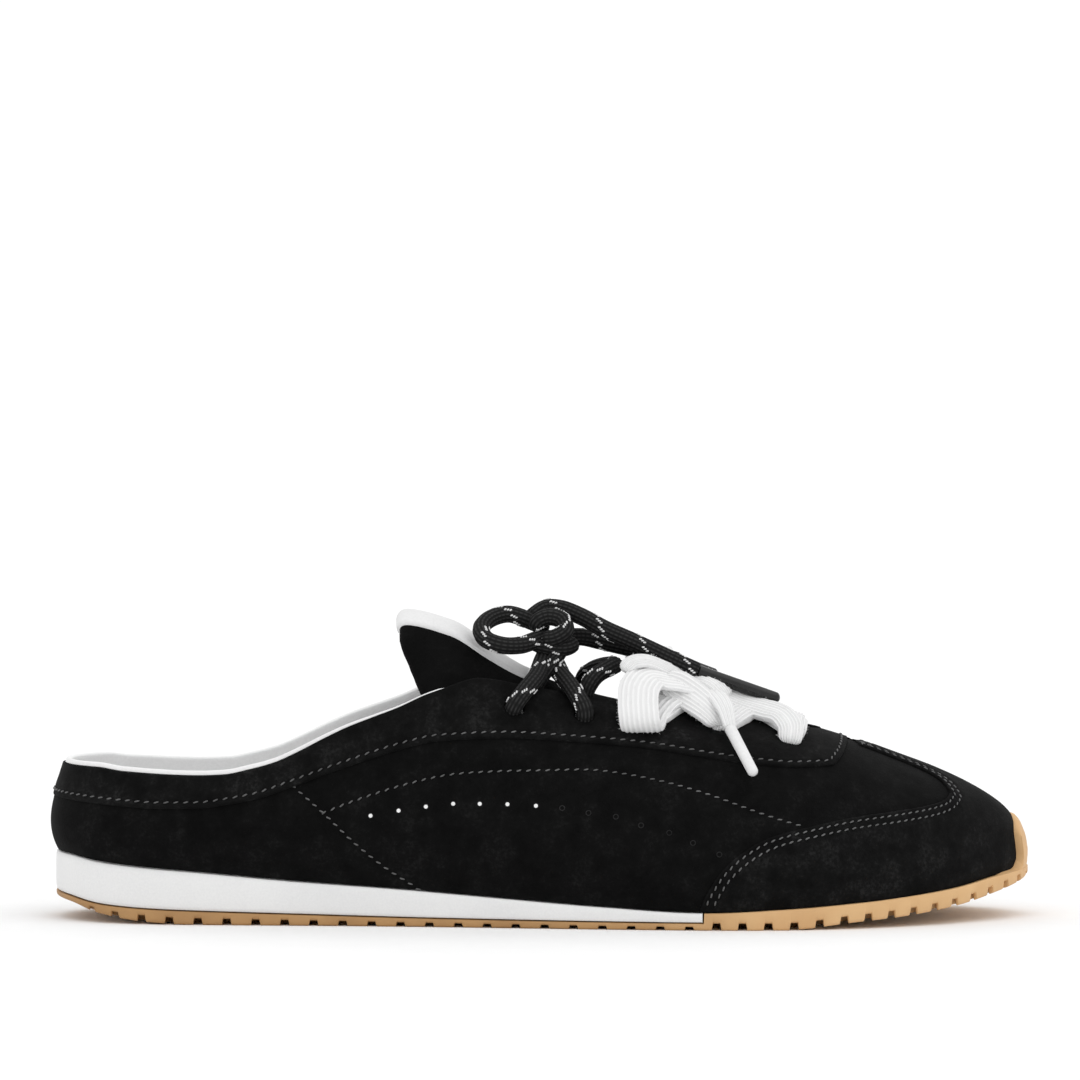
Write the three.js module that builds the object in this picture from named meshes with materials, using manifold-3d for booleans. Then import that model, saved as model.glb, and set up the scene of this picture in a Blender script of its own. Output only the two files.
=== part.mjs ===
// Sneaker mule, right shoe: a low suede shoe on a thin running sole, cut down to a rim at the heel.
// Millimetres. +X points to the toe and +Z up, and the outer side of the foot lies towards -Y.
// The origin is on the floor, under the middle of the shoe.
import * as THREE from "three";
import { mergeVertices } from "three/addons/utils/BufferGeometryUtils.js";
import Module from "manifold-3d";

const wasm = await Module();
wasm.setup();

// Main sizes
const length = 268; // heel of the upper to the toe bumper
const ballWidth = 92; // sole at the ball of the foot
const instepHeight = 82; // ridge of the last at the top of the tongue
const collarPeak = 68; // rim at the top of the eyestays
const seatHeight = 18.4; // top edge of the sole at the heel
const heelBevel = 6; // rise of the tread at the very heel
const toeSpring = 11.5; // rise of the tread at the very toe
const tongueHeight = 84; // top of the tongue

// Thicknesses and gaps
const wall = 2.0; // suede with its lining
const overlayThickness = 1.0;
const clearance = 0.3;
const insoleThickness = 3.5;
const tongueThickness = 4.2;
const facingThickness = 0.9;
const bumperThickness = 2.0;

// Sole details
const gumRear = 3.6; // gum under the midsole wedge, behind the ball
const lugPitch = 7.6;
const lugGap = 2.8;
const lugDepth = 1.5;
const lugDraft = 0.3;
const bumperHeight = 28; // top of the toe bumper
const bumperReach = 4.1; // how far the bumper runs back from the tip

// Throat and eyelets
const throatWidth = 38; // between the eyestays at their top
const eyeletPitch = 18.9;
const eyeletHole = 5.6;
const eyeletInset = 8.5; // from the throat edge, along the surface
const eyeletRows = 5;
const eyeletFront = 68.4; // x of the front row

// Laces
const ropeDiameter = 4.8;
const bandWidth = 11;
const bandThickness = 2.2;

// Outline of the sole seen from below. Shares: at of length, outer and inner of ballWidth.
const PLAN = [
  { at: 0, outer: 0.033, inner: 0.033 },
  { at: 0.02, outer: -0.157, inner: 0.222 },
  { at: 0.06, outer: -0.255, inner: 0.32 },
  { at: 0.12, outer: -0.304, inner: 0.362 },
  { at: 0.2, outer: -0.324, inner: 0.366 },
  { at: 0.3, outer: -0.345, inner: 0.341 },
  { at: 0.4, outer: -0.382, inner: 0.318 },
  { at: 0.48, outer: -0.42, inner: 0.324 },
  { at: 0.56, outer: -0.458, inner: 0.36 },
  { at: 0.64, outer: -0.488, inner: 0.42 },
  { at: 0.7, outer: -0.5, inner: 0.47 },
  { at: 0.76, outer: -0.487, inner: 0.5 },
  { at: 0.82, outer: -0.44, inner: 0.492 },
  { at: 0.88, outer: -0.352, inner: 0.447 },
  { at: 0.93, outer: -0.243, inner: 0.378 },
  { at: 0.965, outer: -0.136, inner: 0.302 },
  { at: 0.99, outer: -0.03, inner: 0.205 },
  { at: 1, outer: 0.087, inner: 0.087 },
];

// Heights of the sole. Shares: heel of heelBevel, toe of toeSpring, seat of seatHeight,
// welt of gumRear (top of the gum behind the ball). Lengths: tuck of the upper, draw of the sole.
const SOLE = [
  { at: 0, heel: 1, toe: 0, seat: 1, welt: 2.2, tuck: 1.9, draw: 1.4 },
  { at: 0.015, heel: 0.87, toe: 0, seat: 0.98, welt: 1.95, tuck: 1.8, draw: 1.4 },
  { at: 0.05, heel: 0.42, toe: 0, seat: 0.9, welt: 1.47, tuck: 1.6, draw: 1.2 },
  { at: 0.1, heel: 0.1, toe: 0, seat: 0.83, welt: 1.2, tuck: 1.4, draw: 1.0 },
  { at: 0.15, heel: 0, toe: 0, seat: 0.777, welt: 1.08, tuck: 1.2, draw: 0.8 },
  { at: 0.255, heel: 0, toe: 0, seat: 0.647, welt: 0.9, tuck: 1.0, draw: 0.5 },
  { at: 0.357, heel: 0, toe: 0, seat: 0.549, welt: 0.74, tuck: 0.9, draw: 0.3 },
  { at: 0.459, heel: 0, toe: 0, seat: 0.435, welt: 0.66, tuck: 0.9, draw: 0.2 },
  { at: 0.561, heel: 0, toe: 0, seat: 0.326, welt: 0.62, tuck: 1.0, draw: 0.1 },
  { at: 0.663, heel: 0, toe: 0, seat: 0.25, welt: 0.6, tuck: 1.4, draw: 0 },
  { at: 0.745, heel: 0, toe: 0, seat: 0.3, welt: 0.6, tuck: 1.7, draw: 0 },
  { at: 0.816, heel: 0, toe: 0.148, seat: 0.37, welt: 0.6, tuck: 1.8, draw: 0 },
  { at: 0.867, heel: 0, toe: 0.243, seat: 0.435, welt: 0.6, tuck: 1.9, draw: 0 },
  { at: 0.918, heel: 0, toe: 0.4, seat: 0.52, welt: 0.6, tuck: 2.2, draw: 0 },
  { at: 0.969, heel: 0, toe: 0.67, seat: 0.66, welt: 0.6, tuck: 3.0, draw: 0 },
  { at: 1, heel: 0, toe: 1, seat: 0.75, welt: 0.6, tuck: 3.7, draw: 0 },
];

// The last. Shares: ridge of instepHeight, middle of ballWidth. Powers shape the section's
// side and crown, and bulge is how far the side stands out over the feather edge.
const LAST = [
  { at: 0, ridge: 0.86, middle: 0.033, side: 2.2, crown: 2.2, bulge: 2.0 },
  { at: 0.15, ridge: 0.86, middle: 0.02, side: 2.3, crown: 2.2, bulge: 1.6 },
  { at: 0.23, ridge: 0.885, middle: 0.012, side: 2.2, crown: 2.2, bulge: 1.3 },
  { at: 0.306, ridge: 0.95, middle: 0, side: 2.2, crown: 2.2, bulge: 1.1 },
  { at: 0.36, ridge: 0.995, middle: -0.008, side: 2.2, crown: 2.2, bulge: 1.0 },
  { at: 0.41, ridge: 0.965, middle: -0.01, side: 2.2, crown: 2.2, bulge: 1.0 },
  { at: 0.454, ridge: 0.905, middle: -0.01, side: 2.15, crown: 2.2, bulge: 1.0 },
  { at: 0.495, ridge: 0.845, middle: -0.01, side: 2.1, crown: 2.2, bulge: 1.0 },
  { at: 0.56, ridge: 0.775, middle: -0.01, side: 2.1, crown: 2.2, bulge: 1.1 },
  { at: 0.62, ridge: 0.734, middle: -0.007, side: 2.1, crown: 2.25, bulge: 1.2 },
  { at: 0.684, ridge: 0.691, middle: 0, side: 2.1, crown: 2.3, bulge: 1.3 },
  { at: 0.766, ridge: 0.638, middle: 0.015, side: 2.1, crown: 2.4, bulge: 1.3 },
  { at: 0.816, ridge: 0.59, middle: 0.03, side: 2.05, crown: 2.6, bulge: 1.2 },
  { at: 0.867, ridge: 0.53, middle: 0.045, side: 2.0, crown: 3.1, bulge: 1.1 },
  { at: 0.918, ridge: 0.468, middle: 0.06, side: 1.95, crown: 4.0, bulge: 0.9 },
  { at: 0.96, ridge: 0.41, middle: 0.075, side: 1.9, crown: 5.2, bulge: 0.7 },
  { at: 1, ridge: 0.34, middle: 0.087, side: 1.9, crown: 6.0, bulge: 0.5 },
];

// Rim of the collar seen from the side. Shares: at of length, rim of collarPeak.
const COLLAR = [
  { at: -0.05, rim: 0.625 },
  { at: 0.05, rim: 0.622 },
  { at: 0.077, rim: 0.609 },
  { at: 0.153, rim: 0.596 },
  { at: 0.18, rim: 0.6 },
  { at: 0.204, rim: 0.619 },
  { at: 0.23, rim: 0.647 },
  { at: 0.255, rim: 0.691 },
  { at: 0.281, rim: 0.744 },
  { at: 0.306, rim: 0.791 },
  { at: 0.332, rim: 0.831 },
  { at: 0.357, rim: 0.869 },
  { at: 0.383, rim: 0.916 },
  { at: 0.408, rim: 0.95 },
  { at: 0.434, rim: 0.985 },
  { at: 0.455, rim: 1.02 },
  { at: 0.47, rim: 1.3 },
];

// Throat between the eyestays, seen from above. Shares: at of length, half of throatWidth.
const THROAT = [
  { at: 0.43, half: 0.52 },
  { at: 0.454, half: 0.495 },
  { at: 0.527, half: 0.41 },
  { at: 0.6, half: 0.36 },
  { at: 0.684, half: 0.29 },
  { at: 0.745, half: 0.225 },
  { at: 0.766, half: 0.185 },
  { at: 0.778, half: 0.13 },
  { at: 0.783, half: 0.07 },
  { at: 0.785, half: 0 },
];

// Lower edge of the collar and eyestay panel, seen from the side. Shares: edge of collarPeak.
const PANEL = [
  { at: -0.05, edge: 0.505 },
  { at: 0.031, edge: 0.484 },
  { at: 0.082, edge: 0.469 },
  { at: 0.112, edge: 0.463 },
  { at: 0.153, edge: 0.465 },
  { at: 0.184, edge: 0.481 },
  { at: 0.214, edge: 0.504 },
  { at: 0.25, edge: 0.553 },
  { at: 0.297, edge: 0.621 },
  { at: 0.369, edge: 0.713 },
  { at: 0.397, edge: 0.743 },
  { at: 0.465, edge: 0.759 },
  { at: 0.526, edge: 0.747 },
  { at: 0.609, edge: 0.719 },
  { at: 0.671, edge: 0.679 },
  { at: 0.715, edge: 0.656 },
  { at: 0.76, edge: 0.641 },
  { at: 0.795, edge: 0.641 },
  { at: 0.806, edge: 0.666 },
  { at: 0.812, edge: 0.7 },
  { at: 0.816, edge: 0.76 },
];

// Edge of the toe cap, seen from the side. Shares: at of length, edge of collarPeak.
const CAP = [
  { at: 0.658, edge: -0.05 },
  { at: 0.661, edge: 0.08 },
  { at: 0.667, edge: 0.139 },
  { at: 0.683, edge: 0.235 },
  { at: 0.705, edge: 0.31 },
  { at: 0.73, edge: 0.357 },
  { at: 0.766, edge: 0.388 },
  { at: 0.816, edge: 0.42 },
  { at: 0.865, edge: 0.44 },
  { at: 0.89, edge: 0.457 },
  { at: 0.91, edge: 0.478 },
  { at: 0.917, edge: 0.51 },
];

// Strip of the toe cap along the ridge, seen from above. Shares: half of ballWidth.
const STRIP = [
  { at: 0.822, half: 0.075 },
  { at: 0.865, half: 0.083 },
  { at: 0.895, half: 0.105 },
  { at: 0.908, half: 0.135 },
  { at: 0.918, half: 0.2 },
  { at: 0.93, half: 0.3 },
];

const shareOf = (x) => x / length + 0.5;
const xOf = (share) => (share - 0.5) * length;
// Stations crowd towards heel and toe, where the outline turns round.
const turnOf = (share) => Math.acos(1 - 2 * THREE.MathUtils.clamp(share, 0, 1)) / Math.PI;
const shareAt = (turn) => (1 - Math.cos(Math.PI * turn)) / 2;

// Smooth curve through a table's column that never overshoots its rows.
function follow(table, column, share, key = (row) => row.at) {
  const last = table.length - 1;
  const at = THREE.MathUtils.clamp(share, key(table[0]), key(table[last]));
  let i = 0;
  while (i < last - 1 && at > key(table[i + 1])) i++;
  const slope = (k) =>
    (table[k + 1][column] - table[k][column]) / (key(table[k + 1]) - key(table[k]));
  const tangent = (k) => {
    if (k === 0) return slope(0);
    if (k === last) return slope(last - 1);
    const before = slope(k - 1);
    const after = slope(k);
    return before * after <= 0 ? 0 : (2 * before * after) / (before + after);
  };
  const span = key(table[i + 1]) - key(table[i]);
  const u = (at - key(table[i])) / span;
  const rise = u * u * (3 - 2 * u);
  return (
    table[i][column] * (1 - rise) +
    table[i + 1][column] * rise +
    span * (tangent(i) * u * (1 - u) ** 2 - tangent(i + 1) * u * u * (1 - u))
  );
}

const turned = (row) => turnOf(row.at);
const soleValue = (column, share) => follow(SOLE, column, turnOf(share), turned);
const treadZ = (share) =>
  soleValue("heel", share) * heelBevel + soleValue("toe", share) * toeSpring;
const seatZ = (share) => soleValue("seat", share) * seatHeight;
const weltZ = (share) => soleValue("welt", share) * gumRear;

// Point of the sole's outline on one side (outer or inner), moved in by inset.
function outline(turn, side, inset) {
  const raw = (t) => {
    const mirrored = t < 0 || t > 1;
    const inside = t < 0 ? -t : t > 1 ? 2 - t : t;
    const column = (side === "outer") !== mirrored ? "outer" : "inner";
    return new THREE.Vector2(
      xOf(shareAt(inside)),
      follow(PLAN, column, inside, turned) * ballWidth,
    );
  };
  const step = 0.01;
  const along = raw(turn + step).sub(raw(turn - step)).normalize();
  const inward = side === "outer" ? 1 : -1;
  return raw(turn).add(new THREE.Vector2(-along.y, along.x).multiplyScalar(inset * inward));
}

// Sections stand square to the shoe in the middle, and fan out round the heel and the toe.
const heelFan = { from: -60, turn: 0.5 };
const toeFan = { from: 75, turn: 0.49 };
function ridgeX(x) {
  if (x < heelFan.from) {
    const reach = heelFan.from + length / 2;
    const u = (heelFan.from - x) / reach;
    return heelFan.from - reach * (u - heelFan.turn * u * u);
  }
  if (x > toeFan.from) {
    const reach = length / 2 - toeFan.from;
    const u = (x - toeFan.from) / reach;
    return toeFan.from + reach * (u - toeFan.turn * u * u);
  }
  return x;
}

const ridgeZ = (x) => follow(LAST, "ridge", shareOf(x)) * instepHeight;
const ridgeSlope = (x) => ridgeZ(x + 0.5) - ridgeZ(x - 0.5);
const middleY = (x) => follow(LAST, "middle", shareOf(x)) * ballWidth;

// One half section of the last, from the feather edge to the ridge, at even steps along it.
const SECTION_STEPS = 40;
const sectionCache = new Map();
function section(turn, side) {
  const name = side + turn;
  if (sectionCache.has(name)) return sectionCache.get(name);
  const share = shareAt(turn);
  const foot = outline(turn, side, soleValue("tuck", share));
  const footZ = seatZ(share) + clearance;
  const topX = ridgeX(foot.x);
  const top = new THREE.Vector2(topX, middleY(topX));
  const topZ = ridgeZ(topX);
  const slope = ridgeSlope(topX);
  const out = foot.clone().sub(top).normalize();
  const sidePower = follow(LAST, "side", share);
  const crownPower = follow(LAST, "crown", share);
  const bulge = follow(LAST, "bulge", share);
  const points = [];
  for (let i = 0; i <= SECTION_STEPS; i++) {
    const angle = (i / SECTION_STEPS) * (Math.PI / 2);
    const across = 1 - Math.cos(angle) ** (2 / sidePower);
    const up = Math.sin(angle) ** (2 / crownPower);
    const low = Math.min(up / 0.5, 1);
    const swell = bulge * 6.75 * low * (1 - low) ** 2;
    const x = foot.x + (top.x - foot.x) * across + out.x * swell;
    const y = foot.y + (top.y - foot.y) * across + out.y * swell;
    const roof = topZ + slope * (x - topX);
    points.push(new THREE.Vector3(x, y, footZ * (1 - up) + roof * up));
  }
  sectionCache.set(name, points);
  return points;
}

// Point at a share v of a section's girth.
function along(points, v) {
  const steps = points.slice(1).map((p, i) => p.distanceTo(points[i]));
  let rest = v * steps.reduce((a, b) => a + b, 0);
  for (let i = 0; i < steps.length; i++) {
    if (rest <= steps[i] || i === steps.length - 1)
      return points[i].clone().lerp(points[i + 1], Math.min(rest / steps[i], 1));
    rest -= steps[i];
  }
  return points[points.length - 1].clone();
}

// Open surface of the last as a welded mesh with normals. change moves each point before that.
function lastSurface(turns, columns, change = (p) => p, from = 0) {
  const grid = turns.map((turn) => {
    const half = (side) =>
      Array.from({ length: columns + 1 }, (_, j) =>
        change(along(section(turn, side), from + ((1 - from) * j) / columns), j / columns),
      );
    return [...half("outer"), ...half("inner").reverse().slice(1)];
  });
  const across = 2 * columns + 1;
  const positions = grid.flat().flatMap((p) => [p.x, p.y, p.z]);
  const faces = [];
  for (let i = 0; i < turns.length - 1; i++)
    for (let j = 0; j < across - 1; j++) {
      const a = i * across + j;
      const b = a + across;
      faces.push(a, b, b + 1, a, b + 1, a + 1);
    }
  const geometry = new THREE.BufferGeometry()
    .setAttribute("position", new THREE.Float32BufferAttribute(positions, 3))
    .setIndex(faces);
  const welded = mergeVertices(geometry, 1e-3);
  welded.computeVertexNormals();
  return welded;
}

const solidFrom = (positions, faces) =>
  new wasm.Manifold(
    new wasm.Mesh({
      numProp: 3,
      vertProperties: new Float32Array(positions),
      triVerts: new Uint32Array(faces),
    }),
  );

// Closed solid between two offsets of an open surface.
function shell(surface, low, high) {
  const p = surface.attributes.position;
  const n = surface.attributes.normal;
  const count = p.count;
  const positions = [];
  for (const offset of [high, low])
    for (let i = 0; i < count; i++)
      positions.push(
        p.getX(i) + n.getX(i) * offset,
        p.getY(i) + n.getY(i) * offset,
        p.getZ(i) + n.getZ(i) * offset,
      );
  const index = surface.index.array;
  const faces = [];
  const open = new Map();
  for (let i = 0; i < index.length; i += 3) {
    const [a, b, c] = [index[i], index[i + 1], index[i + 2]];
    if (a === b || b === c || c === a) continue;
    faces.push(a, b, c, a + count, c + count, b + count);
    for (const [from, to] of [
      [a, b],
      [b, c],
      [c, a],
    ])
      if (!open.delete(to + " " + from)) open.set(from + " " + to, [from, to]);
  }
  for (const [from, to] of open.values())
    faces.push(to, from, from + count, to, from + count, to + count);
  return solidFrom(positions, faces);
}

// Closed solid through a row of rings with equal numbers of points.
function loft(rings) {
  const size = rings[0].length;
  const positions = rings.flat().flatMap((p) => [p.x, p.y, p.z]);
  const faces = [];
  for (let i = 0; i < rings.length - 1; i++)
    for (let j = 0; j < size; j++) {
      const a = i * size + j;
      const b = i * size + ((j + 1) % size);
      faces.push(a, b, b + size, a, b + size, a + size);
    }
  const end = (rings.length - 1) * size;
  for (let j = 1; j < size - 1; j++) {
    faces.push(0, j + 1, j);
    faces.push(end, end + j, end + j + 1);
  }
  const made = solidFrom(positions, faces);
  return made.volume() < 0 ? solidFrom(positions, faces.reverse()) : made;
}

function solidOf(geometry) {
  const bare = geometry.clone();
  bare.deleteAttribute("normal");
  bare.deleteAttribute("uv");
  const welded = mergeVertices(bare, 1e-4);
  return solidFrom(welded.attributes.position.array, welded.index.array);
}

// Prism of a plane outline: over the side view (x, z) through all y, or the plan (x, y) through all z.
const REACH = 150;
function prism(points, view) {
  const shape = new THREE.Shape(points.map(([a, b]) => new THREE.Vector2(a, b)));
  const geometry = new THREE.ExtrudeGeometry(shape, { depth: 2 * REACH, bevelEnabled: false });
  if (view === "side") geometry.rotateX(Math.PI / 2).translate(0, REACH, 0);
  else geometry.translate(0, 0, -REACH);
  return solidOf(geometry);
}

const range = (from, to, steps) =>
  Array.from({ length: steps + 1 }, (_, i) => from + ((to - from) * i) / steps);

// Line of a table as points in millimetres.
const tableLine = (table, column, unit, steps) =>
  range(table[0].at, table[table.length - 1].at, steps).map((share) => [
    xOf(share),
    follow(table, column, share) * unit,
  ]);

const sky = 140;
const before = -length;
const beyond = length;

const collarCut = prism(
  [
    [before, sky],
    [before, COLLAR[0].rim * collarPeak],
    ...tableLine(COLLAR, "rim", collarPeak, 26),
    [xOf(COLLAR[COLLAR.length - 1].at), sky],
  ],
  "side",
);

function planStrip(table, unit, steps) {
  const line = tableLine(table, "half", unit, steps);
  const outer = line.map(([x, half]) => [x, middleY(x) - half]);
  const inner = line.map(([x, half]) => [x, middleY(x) + half]).reverse();
  return prism([...outer, ...(line[line.length - 1][1] === 0 ? inner.slice(1) : inner)], "plan");
}
const throatCut = planStrip(THROAT, throatWidth, 20);

const panelRegion = prism(
  [
    [before, sky],
    [before, PANEL[0].edge * collarPeak],
    ...tableLine(PANEL, "edge", collarPeak, 34),
    [xOf(PANEL[PANEL.length - 1].at), sky],
  ],
  "side",
);

const capWings = prism(
  [
    ...tableLine(CAP, "edge", collarPeak, 22),
    [xOf(CAP[CAP.length - 1].at), sky],
    [beyond, sky],
    [beyond, -sky],
    [xOf(CAP[0].at), -sky],
  ],
  "side",
);
const capRegion = capWings.add(planStrip(STRIP, ballWidth, 14));

// Place on the upper at x, a distance out from the throat edge along the section.
function besideThroat(x, side, distance) {
  const points = section(turnOf(shareOf(x)), side);
  const half = follow(THROAT, "half", shareOf(x)) * throatWidth;
  const outOf = (p) => Math.abs(p.y - middleY(x)) - half;
  let i = points.length - 1;
  let gone = 0;
  while (i > 1 && outOf(points[i]) < 0) i--;
  while (i > 1 && gone < distance) {
    gone += points[i].distanceTo(points[i - 1]);
    i--;
  }
  const tangent = points[i + 1].clone().sub(points[i - 1]).normalize();
  const outward = side === "outer" ? -1 : 1;
  const normal = new THREE.Vector3(-ridgeSlope(x), (tangent.z * outward) / Math.abs(tangent.y), 1);
  normal.normalize();
  return { point: points[i].clone(), normal };
}

const eyeletX = Array.from({ length: eyeletRows }, (_, i) => eyeletFront - i * eyeletPitch);

function eyeletPin({ point, normal }) {
  const depth = 4 * (wall + overlayThickness);
  const pin = new THREE.CylinderGeometry(eyeletHole / 2, eyeletHole / 2, depth, 8);
  pin.applyQuaternion(
    new THREE.Quaternion().setFromUnitVectors(new THREE.Vector3(0, 1, 0), normal),
  );
  return solidOf(pin.translate(point.x, point.y, point.z));
}
const eyeletPins = eyeletX
  .flatMap((x) => ["outer", "inner"].map((side) => besideThroat(x, side, eyeletInset)))
  .map(eyeletPin)
  .reduce((all, pin) => all.add(pin));

// Upper and its overlays
const UPPER_STATIONS = 32;
const UPPER_COLUMNS = 10;
const upperTurns = range(0, 1, UPPER_STATIONS);
const lastForm = lastSurface(upperTurns, UPPER_COLUMNS);
const overlayTop = clearance + overlayThickness;

const makeUpper = () =>
  shell(lastForm, -wall, 0).subtract(collarCut).subtract(throatCut).subtract(eyeletPins);

const makePanel = () =>
  shell(lastForm, clearance, overlayTop)
    .intersect(panelRegion)
    .subtract(collarCut)
    .subtract(throatCut)
    .subtract(eyeletPins);

const panelSpread = prism(
  [
    [xOf(0.5), sky],
    [xOf(0.5), 0],
    [xOf(PANEL[PANEL.length - 1].at) + clearance, 0],
    [xOf(PANEL[PANEL.length - 1].at) + clearance, sky],
  ],
  "side",
);
const makeCap = () =>
  shell(lastForm, clearance, overlayTop).intersect(capRegion).subtract(
    panelSpread.subtract(capWings),
  );

// Outsole: gum slab with lugs, thin behind the ball and a full side wall before it
const stepShare = 0.665; // where the midsole ends
const RIM_ROUND = 0.9; // bottom edge of the gum, in from its side
function outsoleRing(share, lifted) {
  const turn = turnOf(share);
  const inset = soleValue("draw", share) + 0.1;
  const thin = share < stepShare;
  const top = (thin ? weltZ(share) : seatZ(share)) - (thin ? clearance : 0);
  const tread = treadZ(share);
  const cut = lifted ? Math.min(lugDepth, 0.55 * (top - tread)) : 0;
  const low = tread + cut;
  const mid = Math.min(low + RIM_ROUND, (low + top) / 2);
  const roll = RIM_ROUND + toeRoll(share);
  const at = (side, extra, z) => {
    const p = outline(turn, side, inset + extra);
    return new THREE.Vector3(p.x, p.y, z);
  };
  return [
    at("outer", roll, low),
    at("inner", roll, low),
    at("inner", 0.35 * roll, mid),
    at("inner", 0, top),
    at("outer", 0, top),
    at("outer", 0.35 * roll, mid),
  ];
}
// The gum turns up and under at the tip.
const toeRoll = (share) => 1.6 * THREE.MathUtils.smoothstep(share, 0.93, 1);

function outsoleShares() {
  const shares = [];
  const add = (x, lifted) => shares.push({ share: shareOf(x), lifted });
  const firstLug = xOf(0.035);
  const lastLug = xOf(0.975);
  const ends = range(0.03, 0.2, 7).map((turn) => xOf(shareAt(turn)));
  ends.filter((x) => x < firstLug - 1).forEach((x) => add(x, false));
  const lugs = Math.floor((lastLug - firstLug) / lugPitch);
  for (let i = 0; i < lugs; i++) {
    const x = firstLug + i * lugPitch;
    add(x, false);
    add(x + lugDraft, true);
    add(x + lugGap - lugDraft, true);
    add(x + lugGap, false);
  }
  const tip = range(0.8, 0.985, 9).map((turn) => xOf(shareAt(turn)));
  tip.filter((x) => x > firstLug + lugs * lugPitch).forEach((x) => add(x, false));
  return shares;
}

function outsoleSlab() {
  const near = 0.15;
  const stepX = xOf(stepShare);
  const rows = outsoleShares().filter(({ share }) => Math.abs(xOf(share) - stepX) > 2 * near);
  const lifted = rows.filter((row) => row.share < stepShare).pop().lifted;
  rows.push({ share: shareOf(stepX - near), lifted }, { share: shareOf(stepX + near), lifted });
  rows.sort((a, b) => a.share - b.share);
  return loft(rows.map((row) => outsoleRing(row.share, row.lifted)));
}

function toeBumper() {
  const skirt = 2.2;
  const turns = range(0.86, 1, 12);
  const drop = (p, v) => (v === 0 ? p.clone().setZ(p.z - skirt) : p);
  const form = lastSurface(turns, UPPER_COLUMNS + 3, drop);
  const back = length / 2 - bumperReach;
  const round = 3;
  const region = prism(
    [
      [back - round * 1.6, -sky],
      [back - round * 1.6, seatZ(shareOf(back)) - 1.5],
      [back - round * 0.6, seatZ(shareOf(back)) + 0.6],
      [back, seatZ(shareOf(back)) + round],
      [back, bumperHeight - 0.6],
      [back + 0.8, bumperHeight],
      [beyond, bumperHeight],
      [beyond, -sky],
    ],
    "side",
  );
  return shell(form, overlayTop + clearance, overlayTop + clearance + bumperThickness)
    .intersect(region);
}
const makeOutsole = () => outsoleSlab().add(toeBumper());

// Midsole wedge
function makeMidsole() {
  const front = turnOf(stepShare) - 0.001;
  const rings = range(0.02, front, 26).map((turn) => {
    const share = shareAt(turn);
    const inset = soleValue("draw", share);
    const low = weltZ(share);
    const high = seatZ(share);
    const at = (side, extra, z) => {
      const p = outline(turn, side, inset + extra);
      return new THREE.Vector3(p.x, p.y, z);
    };
    return [
      at("outer", 0.2, low),
      at("inner", 0.2, low),
      at("inner", 0, (low + high) / 2),
      at("inner", 0.3, high),
      at("outer", 0.3, high),
      at("outer", 0, (low + high) / 2),
    ];
  });
  return loft(rings);
}

// Insole inside the upper, dished a little
function makeInsole() {
  const rings = range(0.05, 0.9, 26).map((turn) => {
    const share = shareAt(turn);
    const inset = soleValue("tuck", share) + wall + 2 * clearance;
    const low = seatZ(share) + clearance;
    const a = outline(turn, "outer", inset);
    const b = outline(turn, "inner", inset);
    const across = (k, z) =>
      new THREE.Vector3(a.x + (b.x - a.x) * k, a.y + (b.y - a.y) * k, z);
    const high = low + insoleThickness;
    const dish = 0.8;
    return [
      across(0, low),
      across(1, low),
      across(1, high - 0.4),
      across(0.96, high),
      across(0.75, high - dish * 0.8),
      across(0.5, high - dish),
      across(0.25, high - dish * 0.8),
      across(0.04, high),
      across(0, high - 0.4),
    ];
  });
  return loft(rings);
}

// Tongue: lies under the eyestays on the last's own form, and stands up behind them
const tongueFrom = 0.345;
const tongueTo = 0.775;
const TONGUE_COLUMNS = 10;
const TONGUE_GIRTH = 0.5; // share of the half section that the tongue leaves bare
const tongueUnder = wall + 2 * clearance;
function tongueLift(p) {
  const rise = tongueHeight + tongueUnder - instepHeight;
  const back = 1 - THREE.MathUtils.smoothstep(shareOf(p.x), 0.42, 0.52);
  const top = THREE.MathUtils.smoothstep(p.z, 0.82 * instepHeight, instepHeight);
  return p.clone().setZ(p.z + rise * back * top);
}
const tongueForm = lastSurface(
  [
    ...upperTurns.filter((turn) => turn > turnOf(tongueFrom) && turn < turnOf(tongueTo)),
    turnOf(tongueTo),
  ],
  TONGUE_COLUMNS,
  tongueLift,
  TONGUE_GIRTH,
);
// Rear edge of the tongue, seen from the side: upright at the top and leaning forward below
function tongueBehind(gap) {
  const top = xOf(0.3595) + gap;
  return prism(
    [
      [before, sky],
      [before, 0],
      [top + 13.5, 0],
      [top + 6.3, 0.74 * tongueHeight],
      [top, 0.92 * tongueHeight],
      [top, sky],
    ],
    "side",
  );
}
const facingWrap = 1.2;
const makeTongue = () =>
  shell(tongueForm, -tongueUnder - tongueThickness, -tongueUnder)
    .subtract(tongueBehind(facingWrap));

// White facing along the middle of the tongue, wrapped over its top edge
function makeFacing() {
  const half = (share) =>
    Math.min(11.5, follow(THROAT, "half", share) * throatWidth - 1.6);
  const line = range(tongueFrom - 0.01, 0.75, 12).map((share) => [xOf(share), half(share)]);
  const region = prism(
    [
      ...line.map(([x, h]) => [x, middleY(x) - h]),
      ...line.map(([x, h]) => [x, middleY(x) + h]).reverse(),
    ],
    "plan",
  );
  const top = -tongueUnder + clearance + facingThickness;
  const under = -tongueUnder - tongueThickness - clearance - facingThickness;
  const whole = shell(tongueForm, under, top).subtract(tongueBehind(0)).intersect(region);
  const core = shell(tongueForm, -tongueUnder - tongueThickness - clearance, -tongueUnder + clearance)
    .subtract(tongueBehind(facingWrap - clearance));
  const wrapEnd = xOf(0.42);
  const lower = prism([[wrapEnd, -40], [beyond, -40], [beyond, 40], [wrapEnd, 40]], "plan")
    .intersect(shell(tongueForm, under - 1, -tongueUnder - 0.5 * tongueThickness));
  return whole.subtract(core).subtract(lower);
}

// Laces
const at = (x, y, z) => new THREE.Vector3(x, y, z);

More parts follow.
